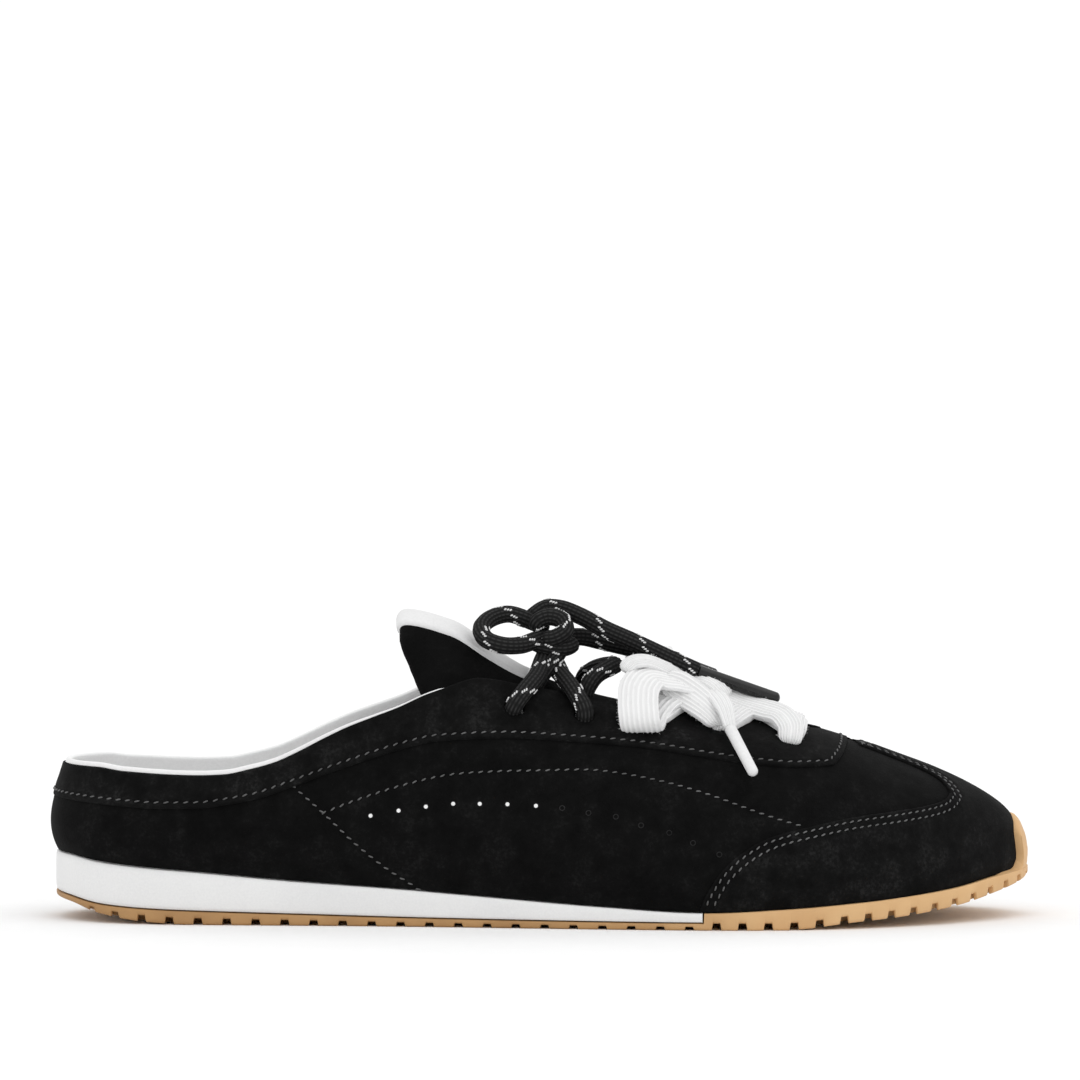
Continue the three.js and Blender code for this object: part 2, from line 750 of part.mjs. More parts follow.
// Round rope along a curve through points
function rope(points, diameter, sides = 8) {
  const curve = new THREE.CatmullRomCurve3(points, false, "centripetal");
  const steps = Math.min(80, Math.max(6, Math.round(curve.getLength() / (2.2 * diameter)) + 4));
  const shape = new THREE.Shape(
    range(0, 1, sides)
      .slice(0, sides)
      .map((k) => new THREE.Vector2(Math.cos(k * 2 * Math.PI), Math.sin(k * 2 * Math.PI)))
      .map((p) => p.multiplyScalar(diameter / 2)),
  );
  return solidOf(new THREE.ExtrudeGeometry(shape, { steps, extrudePath: curve }));
}

// Flat band along a curve through points; each row gives a point and the way its face looks
function band(rows, width, thickness, steps) {
  const curve = new THREE.CatmullRomCurve3(rows.map((row) => row.point), false, "centripetal");
  const faces = new THREE.CatmullRomCurve3(rows.map((row) => row.face), false, "uniform");
  const corners = 6;
  const rings = range(0, 1, steps).map((k) => {
    const centre = curve.getPoint(k);
    const ahead = curve.getTangent(k);
    const across = faces.getPoint(k).cross(ahead).normalize();
    const up = ahead.clone().cross(across).normalize();
    return range(0, 1, corners).slice(0, corners).map((share) => {
      const angle = (share + 0.5 / corners) * 2 * Math.PI;
      return centre.clone()
        .addScaledVector(across, (Math.cos(angle) * width) / 2)
        .addScaledVector(up, (Math.sin(angle) * thickness) / 2);
    });
  });
  return loft(rings);
}

// Place over the panel, a distance out from the throat edge, lifted off it
const overPanel = (x, side, distance, lift) => {
  const { point, normal } = besideThroat(x, side, distance);
  return { point: point.addScaledVector(normal, overlayTop + clearance + lift), face: normal };
};
const facingTop = (x) => ridgeZ(x) - tongueUnder + 2 * clearance + facingThickness;

// Lace from one eyelet to another across the throat, close over the tongue
function crossingRows(rowA, rowB, thickness) {
  const place = (k) => THREE.MathUtils.lerp(eyeletX[rowA], eyeletX[rowB], k);
  const lift = thickness / 2 + (thickness > bandThickness ? 0.6 : 0.9);
  const outer = [1, 0.5, 0].map((far, i) =>
    overPanel(place(0.13 * i), "outer", far * eyeletInset, lift),
  );
  const inner = [0, 0.5, 1].map((far, i) =>
    overPanel(place(0.74 + 0.13 * i), "inner", far * eyeletInset, lift),
  );
  const x = place(0.5);
  const edgeZ = (outer[2].point.z + inner[0].point.z) / 2;
  const z = Math.max(facingTop(x) + thickness / 2 + 2 * clearance, edgeZ);
  return [...outer, { point: at(x, middleY(x), z), face: at(-ridgeSlope(x), 0, 1) }, ...inner];
}
const ropeCrossing = (rowA, rowB) =>
  rope(
    crossingRows(rowA, rowB, ropeDiameter).map((row) => row.point),
    ropeDiameter,
  );
const bandCrossing = (rowA, rowB) =>
  band(crossingRows(rowA, rowB, bandThickness), bandWidth * 0.5, bandThickness, 8);

function knot(centre, radii) {
  const ball = new THREE.SphereGeometry(1, 10, 7).scale(...radii);
  return solidOf(ball.translate(centre.x, centre.y, centre.z));
}
function tip(from, to, diameter) {
  const rod = new THREE.CylinderGeometry(diameter / 2, diameter / 2, from.distanceTo(to), 10);
  rod.applyQuaternion(
    new THREE.Quaternion().setFromUnitVectors(at(0, 1, 0), to.clone().sub(from).normalize()),
  );
  const middle = from.clone().lerp(to, 0.5);
  return solidOf(rod.translate(middle.x, middle.y, middle.z));
}

// Black rope lace: knot over the top crossing, a loop lying back on the tongue, two ends forward
const blackKnot = { centre: at(5.2, -3.2, 76.7), radii: [6.6, 6, 4.4] };
const blackLoop = [
  at(0.1, -8, 76.6),
  at(-5.5, -13.8, 75.2),
  at(-10.5, -16, 75.4),
  at(-14.8, -14.6, 77),
  at(-16, -11, 79.6),
  at(-13.6, -7.2, 82),
  at(-8.5, -5, 83.2),
  at(-2, -4.2, 81),
];
const blackEndOne = [
  at(1.5, -1.5, 84.6),
  at(5.5, -2.2, 84.6),
  at(11, -3.6, 82.6),
  at(18, -5.2, 79),
  at(25, -6.6, 76),
  at(32, -7.6, 72.8),
  at(38, -8, 70),
  at(43.4, -8, 67.6),
];
const blackTipOne = { from: at(44, -8, 67.3), to: at(65.4, -6.6, 60), diameter: 3.6 };
const blackEndTwo = [
  at(11.8, 0.2, 76.6),
  at(16, 1.4, 75.6),
  at(21, 1.6, 74.4),
  at(27, 1.6, 73),
  at(33, 1.6, 71.4),
  at(37.4, 1.6, 70),
];
const blackTipTwo = { from: at(38, 1.6, 69.8), to: at(48.6, 1.2, 66), diameter: 3.6 };

// White flat lace: knot on the ridge, a loop hanging on each side, an end on each side
const whiteKnot = { centre: at(44.6, -1.2, 62.6), radii: [4.6, 7.2, 2.1] };
const whiteLoopNear = [
  { point: at(40.6, -12, 64.2), face: at(0, -0.7, 0.7) },
  { point: at(35.5, -15.4, 65.8), face: at(0, -0.9, 0.5) },
  { point: at(30, -18.2, 66.8), face: at(-0.1, -1, 0.3) },
  { point: at(27.2, -22.6, 64.6), face: at(-0.1, -1, 0.3) },
  { point: at(26.6, -26.2, 61), face: at(0, -0.9, 0.4) },
  { point: at(26.8, -29, 57.2), face: at(0, -0.9, 0.5) },
];
const whiteLoopFar = [
  { point: at(42, 7.6, 65.6), face: at(-0.3, 0.4, 0.9) },
  { point: at(38, 11.6, 69.2), face: at(-0.5, 0.4, 0.7) },
  { point: at(33, 13.6, 72.4), face: at(0, 0, 1) },
  { point: at(29.6, 17.4, 71.2), face: at(0.2, 0.8, 0.5) },
  { point: at(28.8, 21.4, 67.2), face: at(0.2, 1, 0.3) },
  { point: at(29.4, 24.8, 62.6), face: at(0.1, 0.9, 0.4) },
];
const whiteEndNear = [
  { point: at(46.5, -11.4, 62.6), face: at(0.2, -0.6, 0.8) },
  { point: at(48, -16, 61.6), face: at(0.2, -0.6, 0.8) },
  { point: at(49.6, -20.6, 59.8), face: at(0.2, -0.7, 0.7) },
  { point: at(50.8, -25, 56.8), face: at(0.2, -0.8, 0.6) },
  { point: at(51.6, -28.2, 53.4), face: at(0.2, -0.8, 0.6) },
];
const whiteTipNear = { from: at(51.8, -28.7, 53), to: at(58, -38, 41.6), diameter: 3.2 };
const whiteEndFar = [
  { point: at(47.2, 6.6, 62.4), face: at(0.2, 0.6, 0.8) },
  { point: at(48.8, 10.8, 62), face: at(0.2, 0.6, 0.8) },
  { point: at(49.4, 16.2, 61.6), face: at(0.2, 0.6, 0.8) },
  { point: at(50.4, 21.4, 59.2), face: at(0.2, 0.7, 0.7) },
  { point: at(51, 25.6, 55.8), face: at(0.2, 0.8, 0.6) },
];
const whiteTipFar = { from: at(51.15, 26.1, 55.4), to: at(56.4, 34.8, 44.4), diameter: 3.2 };
const loopWidth = bandWidth;
const endWidth = 6;

const suede = { color: 0x17171a, roughness: 0.9 };
const gum = { color: 0xc49b68, roughness: 0.7 };
const whiteRubber = { color: 0xe8e8e6, roughness: 0.6 };
const whiteCloth = { color: 0xf0f0ee, roughness: 0.8 };
const blackCord = { color: 0x141416, roughness: 0.8 };
const clearTip = { color: 0x303034, roughness: 0.3 };

const bodies = [
  ["outsole", makeOutsole(), gum],
  ["midsole", makeMidsole(), whiteRubber],
  ["insole", makeInsole(), whiteCloth],
  ["upper", makeUpper(), suede],
  ["collar_eyestay_panel", makePanel(), suede],
  ["toe_cap", makeCap(), suede],
  ["tongue", makeTongue(), suede],
  ["tongue_facing", makeFacing(), whiteCloth],
  ["lace_black_crossings", ropeCrossing(3, 4).add(ropeCrossing(4, 3)), blackCord],
  ["lace_black_knot", knot(blackKnot.centre, blackKnot.radii), blackCord],
  ["lace_black_loop", rope(blackLoop, ropeDiameter), blackCord],
  ["lace_black_end_1", rope(blackEndOne, ropeDiameter), blackCord],
  ["lace_black_end_2", rope(blackEndTwo, ropeDiameter), blackCord],
  ["lace_black_tip_1", tip(blackTipOne.from, blackTipOne.to, blackTipOne.diameter), clearTip],
  ["lace_black_tip_2", tip(blackTipTwo.from, blackTipTwo.to, blackTipTwo.diameter), clearTip],
  [
    "lace_white_crossings",
    [bandCrossing(0, 0), bandCrossing(0, 1), bandCrossing(1, 0), bandCrossing(1, 2),
      bandCrossing(2, 1)].reduce((all, piece) => all.add(piece)),
    whiteCloth,
  ],
  ["lace_white_knot", knot(whiteKnot.centre, whiteKnot.radii), whiteCloth],
  ["lace_white_loop_near", band(whiteLoopNear, loopWidth, bandThickness * 1.6, 10), whiteCloth],
  ["lace_white_loop_far", band(whiteLoopFar, loopWidth, bandThickness * 1.6, 10), whiteCloth],
  ["lace_white_end_near", band(whiteEndNear, endWidth, bandThickness, 8), whiteCloth],
  ["lace_white_end_far", band(whiteEndFar, endWidth, bandThickness, 8), whiteCloth],
  ["lace_white_tip_near", tip(whiteTipNear.from, whiteTipNear.to, whiteTipNear.diameter), whiteCloth],
  ["lace_white_tip_far", tip(whiteTipFar.from, whiteTipFar.to, whiteTipFar.diameter), whiteCloth],
];

const shoe = new THREE.Group();
for (const [name, solid, look] of bodies) {
  const mesh = solid.getMesh();
  const geometry = new THREE.BufferGeometry()
    .setAttribute("position", new THREE.BufferAttribute(mesh.vertProperties, 3))
    .setIndex(new THREE.BufferAttribute(mesh.triVerts, 1));
  const part = new THREE.Mesh(geometry, new THREE.MeshStandardMaterial(look));
  part.name = name;
  shoe.add(part);
}

export default shoe;
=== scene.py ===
"""Sneaker mule, right shoe: suede upper, gum and white sole, black rope lace and white flat lace."""

import math

import bmesh
import bpy
import numpy as np
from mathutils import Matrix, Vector
from mathutils.kdtree import KDTree


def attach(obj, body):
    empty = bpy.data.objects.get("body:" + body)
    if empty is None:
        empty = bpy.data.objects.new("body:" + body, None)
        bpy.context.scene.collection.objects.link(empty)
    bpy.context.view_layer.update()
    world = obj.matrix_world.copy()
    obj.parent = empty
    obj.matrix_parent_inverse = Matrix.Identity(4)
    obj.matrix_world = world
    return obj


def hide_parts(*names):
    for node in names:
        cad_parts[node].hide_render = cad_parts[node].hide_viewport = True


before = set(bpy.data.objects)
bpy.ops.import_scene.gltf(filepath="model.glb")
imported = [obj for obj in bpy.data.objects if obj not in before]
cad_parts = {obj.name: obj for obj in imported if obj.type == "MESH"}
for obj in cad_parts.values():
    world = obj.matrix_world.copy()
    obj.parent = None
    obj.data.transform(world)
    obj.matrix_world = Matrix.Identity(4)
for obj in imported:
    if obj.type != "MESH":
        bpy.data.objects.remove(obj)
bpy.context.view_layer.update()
MM = 0.001

# Camera: long lens, a little above the shoe, looking at its outer side
VIEW_WIDTH = 295.3 * MM
VIEW_DISTANCE = 3.0
VIEW_RISE = math.radians(3.0)
VIEW_AIM = Vector((0, 0, 103.2 * MM))
camera_data = bpy.data.cameras.new("camera")
camera_data.sensor_width = 36
camera_data.lens = 36 * VIEW_DISTANCE / VIEW_WIDTH
camera = bpy.data.objects.new("camera", camera_data)
camera.location = VIEW_AIM + VIEW_DISTANCE * Vector((0, -math.cos(VIEW_RISE), math.sin(VIEW_RISE)))
camera.rotation_euler = (math.pi / 2 - VIEW_RISE, 0, 0)
bpy.context.scene.collection.objects.link(camera)
bpy.context.scene.camera = camera


# Main sizes, in millimetres as in the CAD
LENGTH, BALL_WIDTH, INSTEP_HEIGHT, COLLAR_PEAK = 268.0, 92.0, 82.0, 68.0
SEAT_HEIGHT, HEEL_BEVEL, TOE_SPRING, TONGUE_HEIGHT = 18.4, 6.0, 11.5, 84.0
WALL, CLEARANCE, OVERLAY = 2.0, 0.3, 0.9
GUM_REAR, THROAT_WIDTH = 3.6, 38.0
EYELET_PITCH, EYELET_HOLE, EYELET_INSET, EYELET_FRONT = 18.9, 5.6, 8.5, 68.4

PLAN = np.array([
    (0, 0.033, 0.033), (0.02, -0.157, 0.222), (0.06, -0.255, 0.32), (0.12, -0.304, 0.362),
    (0.2, -0.324, 0.366), (0.3, -0.345, 0.341), (0.4, -0.382, 0.318), (0.48, -0.42, 0.324),
    (0.56, -0.458, 0.36), (0.64, -0.488, 0.42), (0.7, -0.5, 0.47), (0.76, -0.487, 0.5),
    (0.82, -0.44, 0.492), (0.88, -0.352, 0.447), (0.93, -0.243, 0.378), (0.965, -0.136, 0.302),
    (0.99, -0.03, 0.205), (1, 0.087, 0.087),
])
OUTER, INNER = 1, 2
SOLE = np.array([
    (0, 1, 0, 1, 2.2, 1.9, 1.4), (0.015, 0.87, 0, 0.98, 1.95, 1.8, 1.4),
    (0.05, 0.42, 0, 0.9, 1.47, 1.6, 1.2), (0.1, 0.1, 0, 0.83, 1.2, 1.4, 1.0),
    (0.15, 0, 0, 0.777, 1.08, 1.2, 0.8), (0.255, 0, 0, 0.647, 0.9, 1.0, 0.5),
    (0.357, 0, 0, 0.549, 0.74, 0.9, 0.3), (0.459, 0, 0, 0.435, 0.66, 0.9, 0.2),
    (0.561, 0, 0, 0.326, 0.62, 1.0, 0.1), (0.663, 0, 0, 0.25, 0.6, 1.4, 0),
    (0.745, 0, 0, 0.3, 0.6, 1.7, 0), (0.816, 0, 0.148, 0.37, 0.6, 1.8, 0),
    (0.867, 0, 0.243, 0.435, 0.6, 1.9, 0), (0.918, 0, 0.4, 0.52, 0.6, 2.2, 0),
    (0.969, 0, 0.67, 0.66, 0.6, 3.0, 0), (1, 0, 1, 0.75, 0.6, 3.7, 0),
])
HEEL, TOE, SEAT, WELT, TUCK, DRAW = range(1, 7)
LAST = np.array([
    (0, 0.86, 0.033, 2.6, 2.5, 2.1), (0.15, 0.86, 0.02, 2.4, 2.3, 1.6),
    (0.23, 0.885, 0.012, 2.2, 2.2, 1.3), (0.306, 0.95, 0, 2.2, 2.2, 1.1),
    (0.36, 0.995, -0.008, 2.2, 2.2, 1.0), (0.41, 0.965, -0.01, 2.2, 2.2, 1.0),
    (0.454, 0.905, -0.01, 2.15, 2.2, 1.0), (0.495, 0.845, -0.01, 2.1, 2.2, 1.0),
    (0.56, 0.775, -0.01, 2.1, 2.2, 1.1), (0.62, 0.734, -0.007, 2.1, 2.25, 1.2),
    (0.684, 0.691, 0, 2.1, 2.3, 1.3), (0.766, 0.638, 0.015, 2.1, 2.4, 1.3),
    (0.816, 0.59, 0.03, 2.05, 2.6, 1.2), (0.867, 0.53, 0.045, 2.0, 3.1, 1.1),
    (0.918, 0.468, 0.06, 1.95, 4.0, 0.9), (0.96, 0.41, 0.075, 1.9, 5.2, 0.7),
    (1, 0.34, 0.087, 1.9, 6.0, 0.5),
])
RIDGE, MIDDLE, SIDE, CROWN, BULGE = range(1, 6)
COLLAR = np.array([
    (-0.05, 0.625), (0.05, 0.622), (0.077, 0.609), (0.153, 0.596), (0.18, 0.6), (0.204, 0.619),
    (0.23, 0.647), (0.255, 0.691), (0.281, 0.744), (0.306, 0.791), (0.332, 0.831), (0.357, 0.869),
    (0.383, 0.916), (0.408, 0.95), (0.434, 0.985), (0.455, 1.02), (0.47, 1.3),
])
THROAT = np.array([
    (0.43, 0.52), (0.454, 0.495), (0.527, 0.41), (0.6, 0.36), (0.684, 0.29), (0.745, 0.225),
    (0.766, 0.185), (0.778, 0.13), (0.783, 0.07), (0.785, 0),
])
PANEL = np.array([
    (-0.05, 0.505), (0.031, 0.484), (0.082, 0.469), (0.112, 0.463), (0.153, 0.465), (0.184, 0.481),
    (0.214, 0.504), (0.25, 0.553), (0.297, 0.621), (0.369, 0.713), (0.397, 0.736), (0.465, 0.748),
    (0.526, 0.735), (0.609, 0.707), (0.671, 0.668), (0.715, 0.645), (0.76, 0.63), (0.795, 0.632),
    (0.806, 0.666), (0.812, 0.7), (0.816, 0.76),
])
CAP = np.array([
    (0.658, -0.05), (0.661, 0.08), (0.667, 0.139), (0.683, 0.235), (0.705, 0.31), (0.73, 0.363),
    (0.766, 0.4), (0.816, 0.437), (0.865, 0.456), (0.89, 0.467), (0.91, 0.484), (0.917, 0.51),
])
STRIP = np.array([
    (0.822, 0.075), (0.865, 0.083), (0.895, 0.105), (0.908, 0.135), (0.918, 0.2), (0.93, 0.3),
])


def share_of(x):
    return np.asarray(x, float) / LENGTH + 0.5


def x_of(share):
    return (np.asarray(share, float) - 0.5) * LENGTH


def turn_of(share):
    return np.arccos(1 - 2 * np.clip(share, 0, 1)) / np.pi


def share_at(turn):
    return (1 - np.cos(np.pi * np.asarray(turn, float))) / 2


def follow(table, column, at, turned=False):
    """Smooth curve through a table's column that never overshoots its rows."""
    xs = turn_of(table[:, 0]) if turned else table[:, 0]
    ys = table[:, column]
    at = np.clip(np.asarray(at, float), xs[0], xs[-1])
    i = np.clip(np.searchsorted(xs, at, side="left") - 1, 0, len(xs) - 2)
    span = np.diff(xs)
    slope = np.diff(ys) / span
    both = slope[:-1] * slope[1:]
    total = np.where(both > 0, slope[:-1] + slope[1:], 1)
    tangent = np.concatenate([[slope[0]], np.where(both > 0, 2 * both / total, 0), [slope[-1]]])
    u = (at - xs[i]) / span[i]
    rise = u * u * (3 - 2 * u)
    bend = span[i] * (tangent[i] * u * (1 - u) ** 2 - tangent[i + 1] * u * u * (1 - u))
    return ys[i] * (1 - rise) + ys[i + 1] * rise + bend


def sole(column, share):
    return follow(SOLE, column, turn_of(share), turned=True)


def tread_z(share):
    return sole(HEEL, share) * HEEL_BEVEL + sole(TOE, share) * TOE_SPRING


def seat_z(share):
    return sole(SEAT, share) * SEAT_HEIGHT


def welt_z(share):
    return sole(WELT, share) * GUM_REAR


def outline(turn, side, inset):
    """Points of the sole's outline on one side, moved in by inset."""
    turn = np.asarray(turn, float)

    def raw(t):
        mirrored = (t < 0) | (t > 1)
        inside = np.where(t < 0, -t, np.where(t > 1, 2 - t, t))
        own = follow(PLAN, side, inside, turned=True)
        other = follow(PLAN, OUTER + INNER - side, inside, turned=True)
        return np.stack([x_of(share_at(inside)), np.where(mirrored, other, own) * BALL_WIDTH], -1)

    step = 0.01
    ahead = raw(turn + step) - raw(turn - step)
    ahead /= np.linalg.norm(ahead, axis=-1, keepdims=True)
    inward = 1 if side == OUTER else -1
    shift = np.stack([-ahead[..., 1], ahead[..., 0]], -1) * np.asarray(inset)[..., None] * inward
    return raw(turn) + shift


def ridge_x(x):
    heel_from, heel_turn, toe_from, toe_turn = -60.0, 0.5, 75.0, 0.49
    reach = heel_from + LENGTH / 2
    u = (heel_from - x) / reach
    rear = heel_from - reach * (u - heel_turn * u * u)
    reach = LENGTH / 2 - toe_from
    u = (x - toe_from) / reach
    front = toe_from + reach * (u - toe_turn * u * u)
    return np.where(x < heel_from, rear, np.where(x > toe_from, front, x))


def ridge_z(x):
    return follow(LAST, RIDGE, share_of(x)) * INSTEP_HEIGHT


def ridge_slope(x):
    return ridge_z(x + 0.5) - ridge_z(x - 0.5)


def middle_y(x):
    return follow(LAST, MIDDLE, share_of(x)) * BALL_WIDTH


def sections(turns, side, steps=160):
    """Half sections of the last from the feather edge to the ridge, at even steps along each."""
    turns = np.asarray(turns, float)
    share = share_at(turns)
    foot = outline(turns, side, sole(TUCK, share))
    foot_z = (seat_z(share) + CLEARANCE)[:, None]
    top_x = ridge_x(foot[:, 0])
    top = np.stack([top_x, middle_y(top_x)], -1)
    out = foot - top
    out /= np.linalg.norm(out, axis=1, keepdims=True)
    angle = np.linspace(0, np.pi / 2, 4 * steps + 1)[None]
    across = 1 - np.cos(angle) ** (2 / follow(LAST, SIDE, share)[:, None])
    up = np.sin(angle) ** (2 / follow(LAST, CROWN, share)[:, None])
    low = np.minimum(up / 0.5, 1)
    swell = follow(LAST, BULGE, share)[:, None] * 6.75 * low * (1 - low) ** 2
    x = foot[:, :1] + (top[:, :1] - foot[:, :1]) * across + out[:, :1] * swell
    y = foot[:, 1:] + (top[:, 1:] - foot[:, 1:]) * across + out[:, 1:] * swell
    roof = ridge_z(top_x)[:, None] + ridge_slope(top_x)[:, None] * (x - top_x[:, None])
    points = np.stack([x, y, foot_z * (1 - up) + roof * up], -1)
    gone = np.linalg.norm(np.diff(points, axis=1), axis=2).cumsum(1)
    gone = np.concatenate([np.zeros((len(turns), 1)), gone], 1)
    even = np.empty((len(turns), steps + 1, 3))
    for i in range(len(turns)):
        wanted = np.linspace(0, gone[i, -1], steps + 1)
        for axis in range(3):
            even[i, :, axis] = np.interp(wanted, gone[i], points[i, :, axis])
    return even


def smoothstep(value, low, high):
    t = np.clip((value - low) / (high - low), 0, 1)
    return t * t * (3 - 2 * t)


def side_height(p):
    """Height of a place as the camera sees it: from a little above, what is nearer looks lower."""
    return p[..., 2] - np.abs(p[..., 1]) * math.tan(VIEW_RISE)


def unit(vectors):
    return vectors / np.maximum(np.linalg.norm(vectors, axis=-1, keepdims=True), 1e-12)


# The last's surface as a dense field over (u, w). u is the turn from heel to toe, and w runs from
# the outer feather edge (0) over the ridge (1) to the inner feather edge (2).
FIELD_U, FIELD_V, PAD = 400, 160, 6
field_turns = np.linspace(0, 1, FIELD_U + 1)
outer_half = sections(field_turns, OUTER, FIELD_V)
inner_half = sections(field_turns, INNER, FIELD_V)
field = np.concatenate([outer_half, inner_half[:, ::-1][:, 1:]], 1)


def hump(p, centre, radius, height):
    """Soft rise or dent round a place on the last."""
    far = np.linalg.norm((p - np.array(centre)) / np.array(radius), axis=-1)
    return height * np.exp(-far * far)


def relief(p):
    """Soft dents and ridges that a worn-in last leaves in the suede, in millimetres outwards."""
    rise = 0
    for centre, radius, height in RELIEF:
        rise = rise + hump(p, centre, radius, height)
    return rise


RELIEF = [
    ((52, -34, 34), (5, 30, 9), -0.35), ((60, -36, 33), (4, 30, 8), 0.25),
    ((67, -36, 32), (5, 30, 8), -0.3), ((30, 34, 34), (5, 30, 9), -0.35),
    ((40, 36, 33), (4, 30, 8), 0.25), ((-40, -30, 42), (9, 20, 6), -0.35),
    ((-62, -28, 28), (20, 20, 7), 0.3), ((96, -18, 38), (8, 14, 7), -0.25),
    ((96, 26, 37), (8, 14, 7), -0.25), ((-118, -12, 30), (8, 20, 6), 0.25),
]


def padded_field(grid):
    before = grid[1:PAD + 1][::-1, ::-1]
    after = grid[-PAD - 1:-1][::-1, ::-1]
    return np.concatenate([before, grid, after], 0)


def field_normals(grid):
    wide = padded_field(grid)
    du = wide[PAD + 1:PAD + 2 + FIELD_U] - wide[PAD - 1:PAD + FIELD_U]
    dw = np.gradient(grid, axis=1)
    normals = unit(np.cross(dw, du))
    centre = np.array([0, 0, 20.0])
    return normals * (1 if np.mean(np.sum(normals * (grid - centre), -1)) > 0 else -1)


normals = field_normals(field)
field = field + normals * relief(field)[..., None]
wide_points = padded_field(field)
wide_normals = padded_field(field_normals(field))


def sample(grid, u, w):
    """Value of a padded field at (u, w), with straight steps between its points."""
    a = np.clip(np.asarray(u, float) * FIELD_U + PAD, 0, grid.shape[0] - 1.001)
    b = np.clip(np.asarray(w, float) * FIELD_V, 0, grid.shape[1] - 1.001)
    i, j = a.astype(int), b.astype(int)
    fa, fb = (a - i)[..., None], (b - j)[..., None]
    low = grid[i, j] * (1 - fb) + grid[i, j + 1] * fb
    high = grid[i + 1, j] * (1 - fb) + grid[i + 1, j + 1] * fb
    return low * (1 - fa) + high * fa


def surface(u, w, offset=0.0):
    u, w = np.broadcast_arrays(np.asarray(u, float), np.asarray(w, float))
    lift = np.asarray(offset, float)[..., None]
    return sample(wide_points, u, w) + unit(sample(wide_normals, u, w)) * lift


def normal_at(u, w):
    return unit(sample(wide_normals, u, w))


def w_of(v, side):
    return v if side == OUTER else 2 - v


def girth(u, side):
    column = np.linspace(0, 1, 60)
    points = surface(np.asarray(u)[..., None], w_of(column, side))
    return np.linalg.norm(np.diff(points, axis=-2), axis=-1).sum(-1)


def first_crossing(u, side, level, reverse=False):
    """Share of each section, from its foot (or from its ridge), where level(points) turns negative."""
    column = np.linspace(0, 1, 401)
    walk = column[::-1] if reverse else column
    values = level(surface(u[:, None], w_of(walk, side)[None]))
    below = values < 0
    hit = below.any(1)
    k = np.clip(below.argmax(1), 1, len(walk) - 1)
    rows = np.arange(len(u))
    a, b = values[rows, k - 1], values[rows, k]
    part = np.clip(a / np.where(np.abs(a - b) < 1e-9, 1, a - b), 0, 1)
    found = walk[k - 1] + (walk[k] - walk[k - 1]) * part
    found = np.where(below[:, 0], walk[0], found)
    return np.where(hit, found, walk[-1])


FAR = 1e3


def collar_level(p):
    share = share_of(p[..., 0])
    return np.where(share < 0.47, follow(COLLAR, 1, share) * COLLAR_PEAK - p[..., 2], FAR)


def throat_level(p):
    share = share_of(p[..., 0])
    half = follow(THROAT, 1, share) * THROAT_WIDTH
    inside = (share > 0.43) & (share < 0.785)
    return np.where(inside, np.abs(p[..., 1] - middle_y(p[..., 0])) - half, FAR)


def opening_level(p):
    return np.minimum(collar_level(p), throat_level(p))


def panel_level(p):
    share = share_of(p[..., 0])
    edge = follow(PANEL, 1, share) * COLLAR_PEAK
    return np.where(share < 0.8165, edge - p[..., 2], FAR)


def cap_level(p):
    share = share_of(p[..., 0])
    edge = np.where(share < 0.658, -FAR, follow(CAP, 1, share) * COLLAR_PEAK)
    return np.where(share > 0.917, FAR, edge - p[..., 2])


def strip_level(p):
    share = share_of(p[..., 0])
    half = np.where(share < 0.822, -1, follow(STRIP, 1, share) * BALL_WIDTH)
    return half - np.abs(p[..., 1] - middle_y(p[..., 0]))


# Stations along the shoe, even along the sole's outline, with more of them where forms turn fast
fine = np.linspace(0, 1, 3001)
outer_rim = outline(fine, OUTER, np.zeros_like(fine))
rim_length = np.concatenate([[0], np.linalg.norm(np.diff(outer_rim, axis=0), axis=1).cumsum()])


def stations(low, high, step, dense=()):
    """Turns from low to high, step millimetres apart, and closer together inside each dense span."""
    def between(a, b, size):
        s0, s1 = np.interp([a, b], fine, rim_length)
        count = max(2, int(round((s1 - s0) / size)))
        return np.interp(np.linspace(s0, s1, count + 1), rim_length, fine)

    marks = [between(low, high, step)]
    for a, b, size in dense:
        marks.append(between(max(a, low), min(b, high), size))
        marks[0] = marks[0][(marks[0] <= a) | (marks[0] >= b)]
    return np.unique(np.round(np.concatenate(marks), 7))


# Meshes
def link(name, verts, faces, smooth=True, merge=0.004, sharp=None):
    """Object from points in millimetres and faces, with double points joined and normals outwards."""
    mesh = bpy.data.meshes.new(name)
    mesh.from_pydata((np.asarray(verts, float) * MM).tolist(), [], [list(map(int, f)) for f in faces])
    bm = bmesh.new()
    bm.from_mesh(mesh)
    if merge:
        bmesh.ops.remove_doubles(bm, verts=bm.verts, dist=merge * MM)
    bmesh.ops.dissolve_degenerate(bm, edges=bm.edges, dist=1e-7)
    loose = [v for v in bm.verts if not v.link_faces]
    bmesh.ops.delete(bm, geom=loose, context="VERTS")
    bmesh.ops.recalc_face_normals(bm, faces=bm.faces)
    for face in bm.faces:
        face.smooth = smooth
    bm.to_mesh(mesh)
    bm.free()
    piece = bpy.data.objects.new(name, mesh)
    bpy.context.scene.collection.objects.link(piece)
    if sharp:
        mesh.set_sharp_from_angle(angle=math.radians(sharp))
    return piece


def finish_piece(piece, material, replaces=()):
    piece.data.materials.clear()
    piece.data.materials.append(material)
    if replaces:
        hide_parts(*replaces)
    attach(piece, "root")
    return piece


